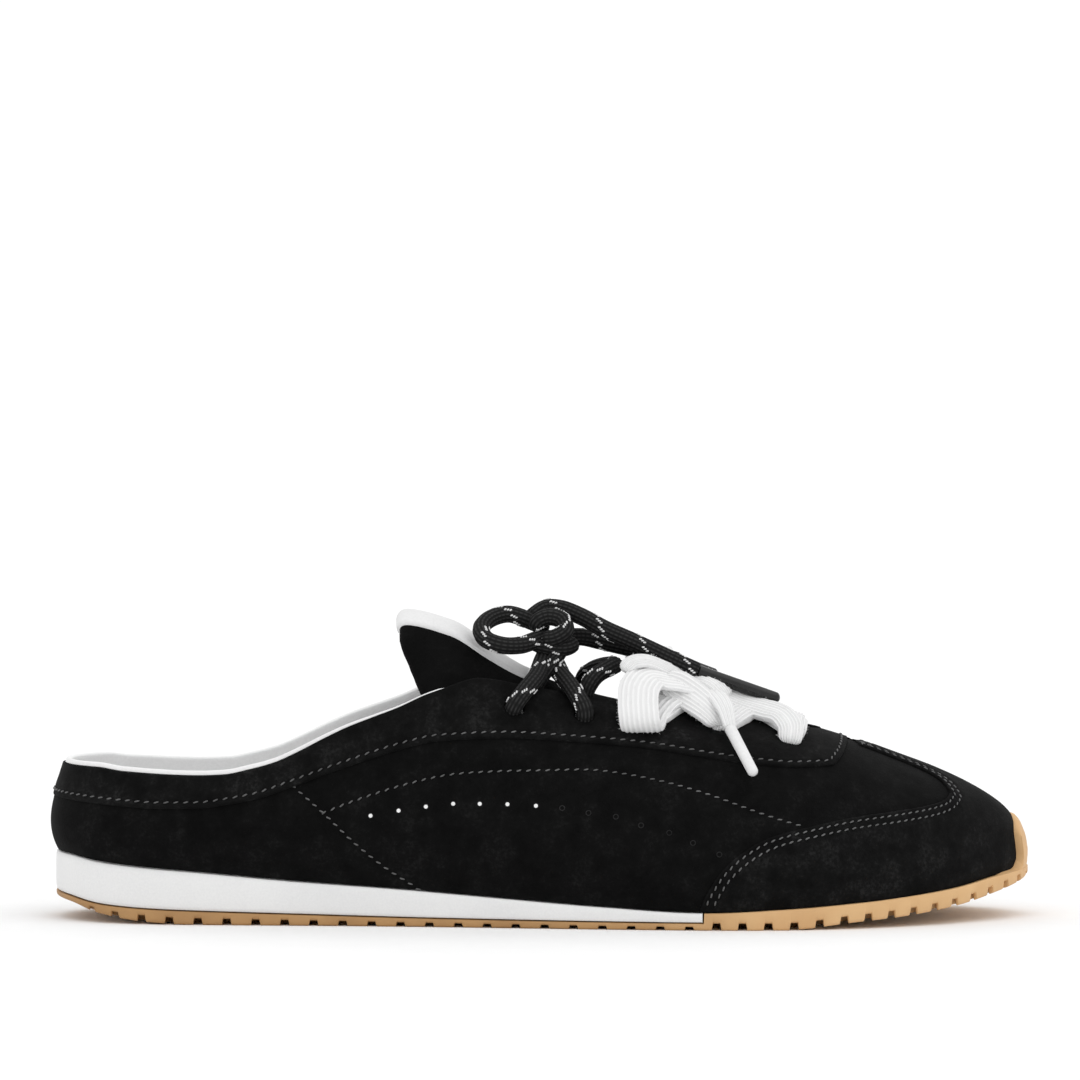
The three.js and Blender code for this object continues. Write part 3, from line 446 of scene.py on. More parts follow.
def rings_mesh(halves, seam, closed):
    """Points and faces of a piece made of closed rings, station by station, on both halves.
    halves is (stations, ring, 3) for each half. A seam segment vanishes where both ends are closed."""
    verts, faces, start = [], [], 0
    for half in halves:
        count, size = half.shape[:2]
        i = np.arange(count - 1)
        for k in range(size):
            use = i[~(closed[:-1] & closed[1:])] if k in seam else i
            a = start + use * size + k
            b = start + use * size + (k + 1) % size
            faces.append(np.stack([a, b, b + size, a + size], 1))
        verts.append(half.reshape(-1, 3))
        start += count * size
    return np.concatenate(verts), np.concatenate(faces)


def loft(rings):
    """Closed tube through rings of equal size, with an end face on each end."""
    rings = np.asarray(rings)
    count, size = rings.shape[:2]
    faces = []
    for i in range(count - 1):
        for k in range(size):
            a, b = i * size + k, i * size + (k + 1) % size
            faces.append((a, b, b + size, a + size))
    faces.append(tuple(range(size))[::-1])
    faces.append(tuple(range((count - 1) * size, count * size)))
    return rings.reshape(-1, 3), faces


# How far from its centre, in radii, an open edge still belongs to a punched hole
RIM_REACH = 2.2


def punch(piece, centre, normal, radius, depth=4.0):
    """Round hole through a thin piece. Points inside it go, and a wall joins the two rims on its circle."""
    bm = bmesh.new()
    bm.from_mesh(piece.data)
    centre, normal = Vector(centre) * MM, Vector(normal)
    radius, depth = radius * MM, depth * MM

    def parts(v):
        d = v.co - centre
        axial = d.dot(normal)
        return axial, d - normal * axial

    inside = [v for v in bm.verts for a, r in [parts(v)] if abs(a) < depth and r.length < radius]
    bmesh.ops.delete(bm, geom=inside, context="VERTS")
    rim_edges = []
    for e in bm.edges:
        if not e.is_boundary:
            continue
        (axial, near), (_, far) = parts(e.verts[0]), parts(e.verts[1])
        if abs(axial) < depth and max(near.length, far.length) < RIM_REACH * radius:
            rim_edges.append(e)
    for v in {v for e in rim_edges for v in e.verts}:
        axial, r = parts(v)
        v.co = centre + normal * axial + r.normalized() * radius
    if rim_edges:
        bmesh.ops.bridge_loops(bm, edges=rim_edges)
    bmesh.ops.recalc_face_normals(bm, faces=bm.faces)
    bm.to_mesh(piece.data)
    bm.free()


# Paths
def spline(points, step=0.5):
    """Evenly spaced points on a smooth curve through the given ones."""
    p = np.asarray(points, float)
    t = np.concatenate([[0], np.sqrt(np.linalg.norm(np.diff(p[:, :3], axis=0), axis=1)).cumsum()])
    h = np.diff(t)[:, None]
    slope = np.diff(p, axis=0) / h
    m = np.empty_like(p)
    m[1:-1] = (slope[1:] * h[:-1] + slope[:-1] * h[1:]) / (h[:-1] + h[1:])
    m[0], m[-1] = slope[0], slope[-1]
    rows = []
    for i in range(len(h)):
        s = np.linspace(0, 1, 25)[:, None]
        a = (1 + 2 * s) * (1 - s) ** 2 * p[i] + s * s * (3 - 2 * s) * p[i + 1]
        rows.append((a + h[i] * (s * (1 - s) ** 2 * m[i] - s * s * (1 - s) * m[i + 1]))[:-1])
    dense = np.concatenate(rows + [p[-1:]])
    return even_path(dense, step)


def even_path(points, step):
    points = np.asarray(points, float)
    total = run_of(points)
    count = max(2, int(round(total[-1] / step)))
    wanted = np.linspace(0, total[-1], count + 1)
    return np.stack([np.interp(wanted, total, points[:, k]) for k in range(points.shape[1])], 1)


def run_of(points):
    """Distance from the first point to each point along a path."""
    steps = np.linalg.norm(np.diff(np.asarray(points)[:, :3], axis=0), axis=1)
    return np.concatenate([[0], steps.cumsum()])


def frames(path, faces=None):
    """Tangent, across and up at each point of a path. faces are the ways a flat lace looks."""
    tangent = unit(np.gradient(path, axis=0))
    if faces is not None:
        across = unit(np.cross(faces, tangent))
        return tangent, across, np.cross(tangent, across)
    up = np.cross(tangent[0], [0.3, 1, 0.2])
    ups = []
    for t in tangent:
        up = unit(up - t * (up @ t))
        ups.append(up)
    ups = np.array(ups)
    return tangent, np.cross(ups, tangent), ups


def tube_rings(path, profile, faces=None, scale=None):
    """Rings of a profile (k, 2) carried along a path. scale is across and up for each point."""
    _, across, up = frames(path, faces)
    scale = np.ones((len(path), 2)) if scale is None else scale
    a = profile[None, :, :1] * scale[:, None, :1] * across[:, None]
    b = profile[None, :, 1:] * scale[:, None, 1:] * up[:, None]
    return path[:, None] + a + b


def circle(count, radius=1.0):
    angle = np.arange(count) / count * 2 * np.pi
    return np.stack([np.cos(angle), np.sin(angle)], 1) * radius


def gather(parts):
    """One set of points and faces out of several."""
    verts, faces, start = [], [], 0
    for v, f in parts:
        verts.append(np.asarray(v, float))
        faces.extend([tuple(k + start for k in face) for face in f])
        start += len(v)
    return np.concatenate(verts), faces


# Stitches
def bar(centre, ahead, up, length, width, height=0.5):
    """One bar of thread, arched a little, lying on a surface that looks up."""
    cross = unit(np.cross(up, ahead))
    rings = []
    for s, size in ((-0.5, 0.25), (-0.42, 0.75), (-0.2, 1), (0.2, 1), (0.42, 0.75), (0.5, 0.25)):
        ring = circle(6, width / 2 * size)
        middle = centre + ahead * s * length + up * height * width * (0.5 - 1.6 * s * s)
        rings.append(middle + ring[:, :1] * cross + ring[:, 1:] * up)
    return loft(rings)


def stitch_row(path, outward, pitch, length, skew):
    """Short thread bars along a path. outward is the way the surface looks at each point."""
    path, outward = np.asarray(path), np.asarray(outward)
    far = run_of(path)
    parts = []
    for start in np.arange(pitch * 0.4, far[-1] - length, pitch):
        middle = start + length / 2
        centre = np.array([np.interp(middle, far, path[:, a]) for a in range(3)])
        lead = np.array([np.interp(middle + 0.5, far, path[:, a]) for a in range(3)])
        up = unit(np.array([np.interp(middle, far, outward[:, a]) for a in range(3)]))
        ahead = unit(lead - centre)
        cross = unit(np.cross(up, ahead))
        parts.append(bar(centre, unit(ahead + cross * skew), up, length, STITCH_WIDTH))
    return parts


def even_uv(u, w, step):
    """The same curve with points evenly spaced along it."""
    points = surface(u, w)
    rows = np.concatenate([points, u[:, None], w[:, None]], 1)
    even = even_path(rows, step)
    return even[:, 3], even[:, 4]


def inset_uv(u, w, distance, toward):
    """A curve on the surface moved sideways by a distance. toward is +1 or -1."""
    step_u, step_w = 1 / FIELD_U, 1 / FIELD_V
    points = surface(u, w)
    tangent = unit(np.gradient(points, axis=0))
    sideways = np.cross(normal_at(u, w), tangent) * toward * distance
    pu = (surface(u + step_u, w) - surface(u - step_u, w)) / (2 * step_u)
    pw = (surface(u, w + step_w) - surface(u, w - step_w)) / (2 * step_w)
    a, b, c = (pu * pu).sum(1), (pu * pw).sum(1), (pw * pw).sum(1)
    ru, rw = (pu * sideways).sum(1), (pw * sideways).sum(1)
    det = a * c - b * b
    return u + (c * ru - b * rw) / det, w + (a * rw - b * ru) / det


def locate(x, z, side=OUTER):
    """(u, w) of places given in the side view."""
    half = field[:, :FIELD_V + 1] if side == OUTER else field[:, FIELD_V:]
    start = 0 if side == OUTER else FIELD_V
    found = []
    for a, b in zip(x, z):
        far = (half[..., 0] - a) ** 2 + (side_height(half) - b) ** 2
        i, j = np.unravel_index(far.argmin(), far.shape)
        found.append((i / FIELD_U, (j + start) / FIELD_V))
    uw = np.array(found)
    for _ in range(4):
        u, w = uw[:, 0], uw[:, 1]
        p, h = surface(u, w), 0.002
        after_u, before_u = surface(u + h, w), surface(u - h, w)
        after_w, before_w = surface(u, w + h), surface(u, w - h)
        xu, xw = (after_u - before_u)[:, 0] / (2 * h), (after_w - before_w)[:, 0] / (2 * h)
        zu = (side_height(after_u) - side_height(before_u)) / (2 * h)
        zw = (side_height(after_w) - side_height(before_w)) / (2 * h)
        ex, ez = np.asarray(x) - p[:, 0], np.asarray(z) - side_height(p)
        det = xu * zw - zu * xw
        det = np.where(np.abs(det) < 1e-6, 1e-6, det)
        du = (ex * zw - ez * xw) / det
        dw = (xu * ez - zu * ex) / det
        uw = uw + np.stack([np.clip(du, -0.01, 0.01), np.clip(dw, -0.02, 0.02)], 1)
    return uw[:, 0], uw[:, 1]


# Materials
def new_material(name):
    material = bpy.data.materials.new(name)
    material.use_nodes = True
    tree = material.node_tree
    return material, tree, tree.nodes["Principled BSDF"]


def node(tree, kind, inputs=(), **settings):
    made = tree.nodes.new(kind)
    for key, value in settings.items():
        setattr(made, key, value)
    for key, value in dict(inputs).items():
        if isinstance(value, bpy.types.NodeSocket):
            tree.links.new(value, made.inputs[key])
        else:
            made.inputs[key].default_value = value
    return made


def noise(tree, scale, detail, rough):
    where = node(tree, "ShaderNodeTexCoord").outputs["Object"]
    settings = {"Vector": where, "Scale": scale, "Detail": detail, "Roughness": rough}
    return node(tree, "ShaderNodeTexNoise", settings).outputs["Fac"]


def combine(tree, a, b, operation):
    return node(tree, "ShaderNodeMath", {0: a, 1: b}, operation=operation).outputs[0]


def spread(tree, value, low, high, to_low=0.0, to_high=1.0):
    return node(tree, "ShaderNodeMapRange", {
        "Value": value, "From Min": low, "From Max": high, "To Min": to_low, "To Max": to_high,
    }).outputs["Result"]


def ramp(tree, value, stops):
    made = node(tree, "ShaderNodeValToRGB", {"Fac": value})
    elements = made.color_ramp.elements
    while len(elements) < len(stops):
        elements.new(0.5)
    for element, (at, colour) in zip(elements, stops):
        element.position = at
        element.color = (*colour, 1)
    return made.outputs["Color"]


def bumps(tree, bsdf, layers):
    """Chain of bump nodes: (height, strength, distance in millimetres)."""
    last = None
    for height, strength, distance in layers:
        settings = {"Height": height, "Strength": strength, "Distance": distance * MM}
        made = node(tree, "ShaderNodeBump", settings)
        if last:
            tree.links.new(last.outputs["Normal"], made.inputs["Normal"])
        last = made
    tree.links.new(last.outputs["Normal"], bsdf.inputs["Normal"])


def grey(value):
    return (value, value, value)


def suede(name, dark, light, sheen):
    material, tree, bsdf = new_material(name)
    patches = noise(tree, 130, 5, 0.68)
    nap = noise(tree, 1000, 4, 0.72)
    fibre = noise(tree, 3200, 2, 0.6)
    cloud, lit = spread(tree, patches, 0.4, 0.66), spread(tree, nap, 0.32, 0.68)
    mix = node(tree, "ShaderNodeMath", {0: cloud, 1: lit, 2: 0.08}, operation="MULTIPLY_ADD").outputs[0]
    middle = grey(0.7 * dark + 0.3 * light)
    colour = ramp(tree, mix, [(0.0, grey(dark)), (0.4, middle), (0.9, grey(light))])
    tree.links.new(colour, bsdf.inputs["Base Color"])
    tree.links.new(spread(tree, nap, 0.3, 0.7, 0.86, 1.0), bsdf.inputs["Roughness"])
    bsdf.inputs["Specular IOR Level"].default_value = 0.1
    bsdf.inputs["Sheen Weight"].default_value = sheen
    bsdf.inputs["Sheen Roughness"].default_value = 0.45
    bsdf.inputs["Sheen Tint"].default_value = (1, 1, 1, 1)
    bumps(tree, bsdf, [(patches, 0.25, 0.5), (nap, 0.5, 0.16), (fibre, 0.6, 0.07)])
    return material


def plain(name, low, high, rough, grain, strength, distance, spec=0.5, patch=40):
    """Material with a soft change of colour over patches and a fine grain."""
    material, tree, bsdf = new_material(name)
    patches = noise(tree, patch, 3, 0.55)
    fine_grain = noise(tree, grain, 3, 0.6)
    both = combine(tree, patches, fine_grain, "ADD")
    colour = ramp(tree, spread(tree, both, 0.75, 1.25), [(0.0, low), (1.0, high)])
    tree.links.new(colour, bsdf.inputs["Base Color"])
    tree.links.new(spread(tree, fine_grain, 0.3, 0.7, rough - 0.07, rough + 0.07),
                   bsdf.inputs["Roughness"])
    bsdf.inputs["Specular IOR Level"].default_value = spec
    bumps(tree, bsdf, [(patches, 0.15, 0.4), (fine_grain, strength, distance)])
    return material


def gum():
    """Gum rubber, a little browner and darker towards the heel: painted shade."""
    material, tree, bsdf = new_material("gum rubber with painted shade")
    patches = noise(tree, 60, 3, 0.55)
    grain = noise(tree, 1500, 3, 0.6)
    # Painted shade: rear is a darker copy of the front colour, used behind x = 30 mm; front is used ahead
    # of x = 60 mm.
    front = ramp(tree, patches, [(0.3, (0.6, 0.36, 0.165)), (0.7, (0.7, 0.45, 0.22))])
    rear = ramp(tree, patches, [(0.3, (0.36, 0.195, 0.075)), (0.7, (0.47, 0.27, 0.11))])
    place = node(tree, "ShaderNodeTexCoord").outputs["Object"]
    along = node(tree, "ShaderNodeSeparateXYZ", {"Vector": place}).outputs["X"]
    share = spread(tree, along, 0.03, 0.06)
    mix = node(tree, "ShaderNodeMixRGB", {"Fac": share, "Color1": rear, "Color2": front})
    tree.links.new(mix.outputs["Color"], bsdf.inputs["Base Color"])
    tree.links.new(spread(tree, grain, 0.3, 0.7, 0.5, 0.64), bsdf.inputs["Roughness"])
    bsdf.inputs["Specular IOR Level"].default_value = 0.4
    bumps(tree, bsdf, [(patches, 0.15, 0.4), (grain, 0.3, 0.05)])
    return material


def wave(tree, value, count, kind="COSINE"):
    angle = combine(tree, value, count * 2 * math.pi, "MULTIPLY")
    return node(tree, "ShaderNodeMath", {0: angle}, operation=kind).outputs[0]


def woven_with_painted_shade(name, groove, rib, ribs, picks, rough):
    """Lace: ribs lengthwise from its own UV map, broken up by picks across where they are given, with
    painted shade between them.
    """
    material, tree, bsdf = new_material(name)
    lace_map = node(tree, "ShaderNodeUVMap", uv_map="lace").outputs["UV"]
    split = node(tree, "ShaderNodeSeparateXYZ", {"Vector": lace_map})
    ridge = spread(tree, wave(tree, split.outputs["X"], ribs), -0.4, 0.9)
    fuzz = noise(tree, 1900, 3, 0.65)
    parts = [spread(tree, fuzz, 0.25, 0.75, 0.55, 1)]
    if picks:
        parts.append(spread(tree, wave(tree, split.outputs["Y"], picks, "SINE"), -1, 0.2, 0.25, 1))
    lit = ridge
    for part in parts:
        lit = combine(tree, lit, part, "MULTIPLY")
    # Painted shade and highlight: the groove colour in the low places between ribs and picks, the rib
    # colour on the crests; the fuzz adds random tone.
    tree.links.new(ramp(tree, lit, [(0, groove), (1, rib)]), bsdf.inputs["Base Color"])
    gloss = spread(tree, fuzz, 0.3, 0.7, rough - 0.08, rough + 0.08)
    tree.links.new(gloss, bsdf.inputs["Roughness"])
    bsdf.inputs["Specular IOR Level"].default_value = 0.2
    bumps(tree, bsdf, [(lit, 0.6, 0.15), (fuzz, 0.6, 0.1)])
    return material


ROPE_RIBS, LACE_RIBS = 14, 8
SUEDE = suede("black suede", 0.001, 0.009, 0.006)
SUEDE_OVERLAY = suede("black suede overlay", 0.0012, 0.016, 0.008)
TONGUE_SUEDE = suede("tongue suede", 0.001, 0.006, 0.005)
THREAD = plain("gray thread", grey(0.05), grey(0.13), 0.6, 3000, 0.5, 0.05)
LINING = plain("white lining", grey(0.79), grey(0.86), 0.62, 1400, 0.3, 0.05, 0.35)
# Painted shade: the facing is the lining's white made darker, so its top stays grey against the white
# surroundings.
FACING_WHITE_SHADED = plain("white facing painted shade", grey(0.68), grey(0.76), 0.55, 1400, 0.3, 0.05, 0.35)
RUBBER = plain("white rubber", grey(0.74), (0.8, 0.8, 0.795), 0.5, 1800, 0.25, 0.04, 0.4, 25)
GUM = gum()
# The black cord and white lace get painted shade in their grooves and painted highlight on their ribs.
BLACK_CORD = woven_with_painted_shade("black cord", grey(0.003), grey(0.034), ROPE_RIBS, 7.5, 0.75)
FLECK = plain("white fleck thread", grey(0.55), grey(0.8), 0.7, 3000, 0.5, 0.05)
WHITE_LACE = woven_with_painted_shade("white lace", grey(0.74), grey(0.89), LACE_RIBS / 2, 0, 0.9)
HOLE_DARK = plain("hole inside", grey(0.001), grey(0.003), 0.9, 2000, 0.3, 0.05, 0.1)
CLEAR_TIP = plain("smoked tip", grey(0.003), grey(0.012), 0.18, 900, 0.1, 0.03, 0.35)
# Painted highlight: the hole lips are lighter than the suede round them.
HOLE_LIP_HIGHLIGHT = plain("hole lip painted highlight", grey(0.006), grey(0.022), 0.85, 2400, 0.5, 0.05, 0.15)
WHITE_TIP = plain("white tip", grey(0.72), grey(0.8), 0.42, 1200, 0.2, 0.04, 0.4)

RNG = np.random.default_rng(7)


# Upper: suede skin and white lining, both open at the collar, the throat and underneath
upper_u = stations(0, 1, 1.35, [(turn_of(0.765), turn_of(0.79), 0.5)])
SKIN, EASE_SPAN = 1.2, 45


def soft_rim(side):
    """Edge of the opening on each section, eased where the collar turns into the throat."""
    top = first_crossing(rim_u, side, opening_level)
    kernel = np.hanning(EASE_SPAN)
    soft = np.convolve(np.pad(top, EASE_SPAN // 2, mode="edge"), kernel / kernel.sum(), "valid")
    share = share_at(rim_u)
    weight = smoothstep(share, 0.38, 0.4) * (1 - smoothstep(share, 0.47, 0.49))
    return top * (1 - weight) + soft * weight


rim_u = np.linspace(0, 1, 1601)
RIM = {side: soft_rim(side) for side in (OUTER, INNER)}


def rim_share(u, side):
    return np.interp(u, rim_u, RIM[side])


def collar_weight(points):
    """1 along the collar, and 0 along the throat."""
    return 1 - smoothstep(points[..., 0], x_of(0.395), x_of(0.425))


def seam_lines():
    """Stitch lines on the quarter, in side-view places measured along the shoe."""
    curved = [
        (-60.2, 28.6), (-50.3, 32.5), (-37.7, 36.6), (-25.2, 39.5), (-12.6, 40.5), (0, 40.8), (13.4, 41),
        (21.1, 40.2), (33.6, 37.8), (45.9, 34.3), (57.7, 30), (64.8, 27.6), (71.6, 25.6),
    ]
    heel = [(-68.2, 37.4), (-63.6, 33.4), (-58, 28.4), (-50.3, 21), (-41.8, 14.2), (-32.4, 8.2)]
    return [spline(line, 0.6) for line in (curved, heel)]


def line_on(side, line):
    return locate(line[:, 0], line[:, 1], side)


def tree_of(points):
    tree = KDTree(len(points))
    for i, p in enumerate(points):
        tree.insert(p, i)
    tree.balance()
    return tree


def distance_to(tree, points):
    flat = points.reshape(-1, 3)
    return np.array([tree.find(p)[2] for p in flat]).reshape(points.shape[:-1])


def groove(distance, width, depth):
    return -depth * np.exp(-(distance / width) ** 2)


SEAM_UV = {side: [line_on(side, line) for line in seam_lines()] for side in (OUTER, INNER)}


def skin_halves():
    halves = []
    for side in (OUTER, INNER):
        top = rim_share(upper_u, side)
        size = girth(upper_u, side)
        v_out = np.linspace(0, 1, 62)[None] * (top - 0.5 / size)[:, None]
        base = surface(upper_u[:, None], w_of(v_out, side))
        seam_points = np.concatenate([surface(u, w) for u, w in SEAM_UV[side]])
        dip = groove(distance_to(tree_of(seam_points), base), 0.9, 0.3)
        out = surface(upper_u[:, None], w_of(v_out, side), dip)
        v_rim = top[:, None] - np.array([0.12, 0, 0.12])[None] / size[:, None]
        edge_offsets = np.array([-0.25, -SKIN / 2, -SKIN + 0.25])[None]
        edge = surface(upper_u[:, None], w_of(v_rim, side), edge_offsets)
        v_in = np.linspace(1, 0, 34)[None] * (top - 0.5 / size)[:, None]
        inside = surface(upper_u[:, None], w_of(v_in, side), -SKIN)
        halves.append((out, edge, inside, top))
    return halves


def build_skin():
    closed = rim_share(upper_u, OUTER) > 0.9999
    rings = []
    for out, edge, inside, top in skin_halves():
        shut = (top > 0.9999)[:, None, None]
        ridge_top = surface(upper_u, np.ones_like(upper_u))[:, None]
        ridge_low = surface(upper_u, np.ones_like(upper_u), -SKIN)[:, None]
        out = np.concatenate([out[:, :-1], np.where(shut, ridge_top, out[:, -1:])], 1)
        inside = np.concatenate([np.where(shut, ridge_low, inside[:, :1]), inside[:, 1:]], 1)
        edge = np.where(shut, np.concatenate([ridge_top, ridge_top, ridge_low], 1), edge)
        rings.append(np.concatenate([out, edge, inside], 1))
    first = out.shape[1] - 1
    seam = set(range(first, first + 4))
    verts, faces = rings_mesh(rings, seam, closed)
    return link("upper_suede", verts, faces, sharp=50)


skin = finish_piece(build_skin(), SUEDE, ["upper"])


def build_lining():
    rings = []
    for side in (OUTER, INNER):
        top = rim_share(upper_u, side)
        size = girth(upper_u, side)
        shut = top > 0.9999
        edge = surface(upper_u, w_of(top, side))
        weight = collar_weight(edge)
        slim = 1 - 0.55 * smoothstep(edge[:, 0], -70, -30)
        proud = np.where(shut, 0, LINING_PROUD * slim * weight - 0.5 * (1 - weight))
        rim_v = np.minimum(top + (proud - 0.45) / size, 1)
        rim_v = np.where(shut, 1, rim_v)
        step = np.where(shut, 0, 1 / size)[:, None]
        v_in = np.linspace(0, 1, 44)[None] * rim_v[:, None]
        inside = surface(upper_u[:, None], w_of(v_in, side), -WALL)
        lift = np.array([0.3, 0.43, 0.45, 0.3, 0])[None] * step
        full = np.array([-WALL + 0.15, -1.5, -0.8, -0.3, -0.16])
        thin = np.linspace(-WALL, -SKIN - 0.03, 5)
        offsets = full * weight[:, None] + thin * (1 - weight[:, None])
        crown = surface(upper_u[:, None], w_of(rim_v[:, None] + lift, side), offsets)
        low = np.where(shut, 1, np.minimum(top + 0.12 / size, rim_v))
        first_ledge = -0.16 * weight - (SKIN + 0.03) * (1 - weight)
        ledge_offsets = np.stack([first_ledge, np.full(len(top), -SKIN - 0.03)], 1)
        ledge = surface(upper_u[:, None], w_of(np.stack([low, low], 1), side), ledge_offsets)
        v_out = np.linspace(1, 0, 14)[None, 1:] * low[:, None]
        outside = surface(upper_u[:, None], w_of(v_out, side), -SKIN - 0.03)
        rings.append(np.concatenate([inside, crown, ledge, outside], 1))
    verts, faces = rings_mesh(rings, set(range(43, 43 + 7)), shut)
    return link("upper_lining", verts, faces, sharp=60)


LINING_PROUD = 1.5
lining = finish_piece(build_lining(), LINING)


# Overlays: their height rises roundly from each edge, and dips along each stitch line
def overlay_height(distance, rows, full=OVERLAY, rounding=0.6):
    part = np.clip(distance / rounding, 0, 1)
    height = full * np.sqrt(1 - (1 - part) ** 2)
    for row in rows:
        height = height + groove(distance - row, 0.4, 0.3)
    return height + 0.1 * np.exp(-((distance - rows[-1] - 1.6) / 1.1) ** 2)


def columns_between(v_low, v_high, size, near_low, near_high, middle):
    """Columns across a strip, at fixed distances (mm) from both edges and even between them."""
    width = (v_high - v_low) * size
    part = np.clip(width / (near_low[-1] + near_high[-1] + 1.5), 0, 1)[:, None]
    low = np.array(near_low)[None] * part
    high = width[:, None] - np.array(near_high)[::-1][None] * part
    share = np.linspace(0, 1, middle + 2)[None, 1:-1]
    between = low[:, -1:] * (1 - share) + high[:, :1] * share
    return v_low[:, None] + np.concatenate([low, between, high], 1) / size[:, None]


NEAR_EDGE = [0, 0.06, 0.25, 0.5, 0.8, 1.1, 1.4, 1.7, 2.0, 2.4, 2.9, 3.5]
NEAR_RIM = [0, 0.08, 0.3, 0.7]
PANEL_ROWS = [1.7]
CAP_ROWS = [1.3, 3.2]
UNDER = 0.02

dense_u = np.linspace(0, 1, 1601)
panel_v = {side: first_crossing(dense_u, side, panel_level) for side in (OUTER, INNER)}
panel_front = dense_u[(panel_v[OUTER] > 0.9999) & (dense_u > turn_of(0.7))].min()
panel_u = stations(0, panel_front, 1.25, [(turn_of(0.765), panel_front, 0.4)])


def panel_edge(side):
    """The panel's lower edge as points in (u, w), from the heel to the front."""
    keep = dense_u <= panel_front
    return even_uv(dense_u[keep], w_of(panel_v[side][keep], side), 0.35)


def build_panel():
    rings, shut = [], None
    edge = tree_of(np.concatenate([surface(*panel_edge(side)) for side in (OUTER, INNER)]))
    for side in (OUTER, INNER):
        top = rim_share(panel_u, side)
        size = girth(panel_u, side)
        shut = top > 0.9999
        high = np.where(shut, 1, top - 0.15 / size)
        low = np.minimum(first_crossing(panel_u, side, panel_level), high)
        v = columns_between(low, high, size, NEAR_EDGE, NEAR_RIM, 15)
        base = surface(panel_u[:, None], w_of(v, side))
        thin_heel = (0.5 + 0.5 * smoothstep(panel_u, 0.02, 0.12))[:, None]
        height = overlay_height(distance_to(edge, base), PANEL_ROWS) * thin_heel
        to_rim = np.where(shut[:, None], FAR, (high[:, None] - v) * size[:, None])
        height = np.minimum(height, 0.35 + overlay_height(to_rim, [FAR], OVERLAY - 0.35, 0.7))
        upper_side = surface(panel_u[:, None], w_of(v, side), np.maximum(height, UNDER + 0.03))
        under_side = surface(panel_u[:, None], w_of(v, side), UNDER)[:, ::-1]
        rings.append(np.concatenate([upper_side, under_side], 1))
    verts, faces = rings_mesh(rings, {v.shape[1] - 1}, shut)
    return link("collar_eyestay_panel_suede", verts, faces, sharp=60)


panel = finish_piece(build_panel(), SUEDE_OVERLAY, ["collar_eyestay_panel"])

# Toe cap: wings up the sides, the whole toe, and a strip back along the ridge
STRIP_REAR = 0.811


def covered_level(p):
    return np.maximum(cap_level(p), strip_level(p))


def cap_curves(side):
    """Upper end of the wing and lower end of the strip on each section, and where they start and meet."""
    wing = first_crossing(dense_u, side, covered_level)
    strip = first_crossing(dense_u, side, covered_level, reverse=True)
    start = dense_u[(dense_u > turn_of(0.6575)) & (wing > 0)].min()
    met = int(np.argmax((dense_u > turn_of(0.86)) & (wing >= strip)))
    split = (wing[met - 1] + strip[met - 1]) / 2
    wing[met:], strip[met:] = split, split
    return wing, strip, start, dense_u[met]


def rear_of_strip(p):
    return share_of(p[..., 0]) - STRIP_REAR


def build_cap():
    border = tree_of(np.concatenate([surface(*cap_border(side)) for side in (OUTER, INNER)]))
    parts = []
    for side in (OUTER, INNER):
        wing, strip, start, met = cap_curves(side)
        split = wing[-1]
        u = stations(start, 1, 1.25, [(start, start + 0.02, 0.35), (met - 0.03, met + 0.01, 0.35)])
        u = np.unique(np.append(u, met))
        size = girth(u, side)
        whole = u >= met
        high = np.where(whole, split, np.minimum(np.interp(u, dense_u, wing), 1))
        v = columns_between(np.zeros_like(u), high, size, [0, 0.5, 1.2], NEAR_EDGE, 16)
        parts.append(cap_ring(u, v, side, border, whole, v.shape[1] - 1))
        ridge = surface(dense_u, np.ones_like(dense_u))
        rear = dense_u[(dense_u > turn_of(0.8)) & (rear_of_strip(ridge) > 0)].min()
        u = stations(rear, 1, 1.25, [(rear, rear + 0.01, 0.35), (met - 0.03, met + 0.01, 0.35)])
        u = np.unique(np.append(u, met))
        size = girth(u, side)
        whole = u >= met
        low = np.where(whole, split, np.interp(u, dense_u, strip))
        v = columns_between(low, np.ones_like(u), size, NEAR_EDGE, [0, 0.8], 6)
        parts.append(cap_ring(u, v, side, border, whole, 2 * v.shape[1] - 1, always=v.shape[1] - 1))
    verts, faces = gather(parts)
    return link("toe_cap_suede", verts, faces, sharp=60, merge=0.006)


def cap_ring(u, v, side, border, whole, seam, always=None):
    """One part of the cap. seam is the ring segment that vanishes where the cap is whole."""
    base = surface(u[:, None], w_of(v, side))
    height = overlay_height(distance_to(border, base), CAP_ROWS)
    height = height * (0.5 + 0.5 * smoothstep(share_of(base[..., 0]), 0.818, 0.83))
    height = np.maximum(height, UNDER + 0.03)
    ring = np.concatenate([
        surface(u[:, None], w_of(v, side), height),
        surface(u[:, None], w_of(v, side), UNDER)[:, ::-1],
    ], 1)
    verts, faces = rings_mesh([ring], {seam}, whole)
    if always is not None:
        size = ring.shape[1]
        gone_pairs = {(i * size + always, i * size + always + 1) for i in range(len(u))}
        faces = [f for f in faces.tolist() if (f[0], f[1]) not in gone_pairs]
    return verts, [tuple(f) for f in faces]


def cap_border(side):
    """Edge of the cap as points in (u, w): up the wing, round the corner and back along the strip."""
    wing, strip, start, met = cap_curves(side)
    first = (dense_u >= start) & (dense_u <= met)
    back = (dense_u <= met) & (strip < 0.9999) & (dense_u > turn_of(0.8))
    back &= rear_of_strip(surface(dense_u, w_of(strip, side))) > 0
    u = np.concatenate([dense_u[first], dense_u[back][::-1]])
    v = np.concatenate([np.minimum(wing[first], 1), strip[back][::-1]])
    last_u = u[-1]
    u = np.concatenate([u, np.full(6, last_u)])
    v = np.concatenate([v, np.linspace(v[-1], 1, 6)])
    return even_uv(u, w_of(v, side), 0.35)


finish_piece(build_cap(), SUEDE_OVERLAY, ["toe_cap"])


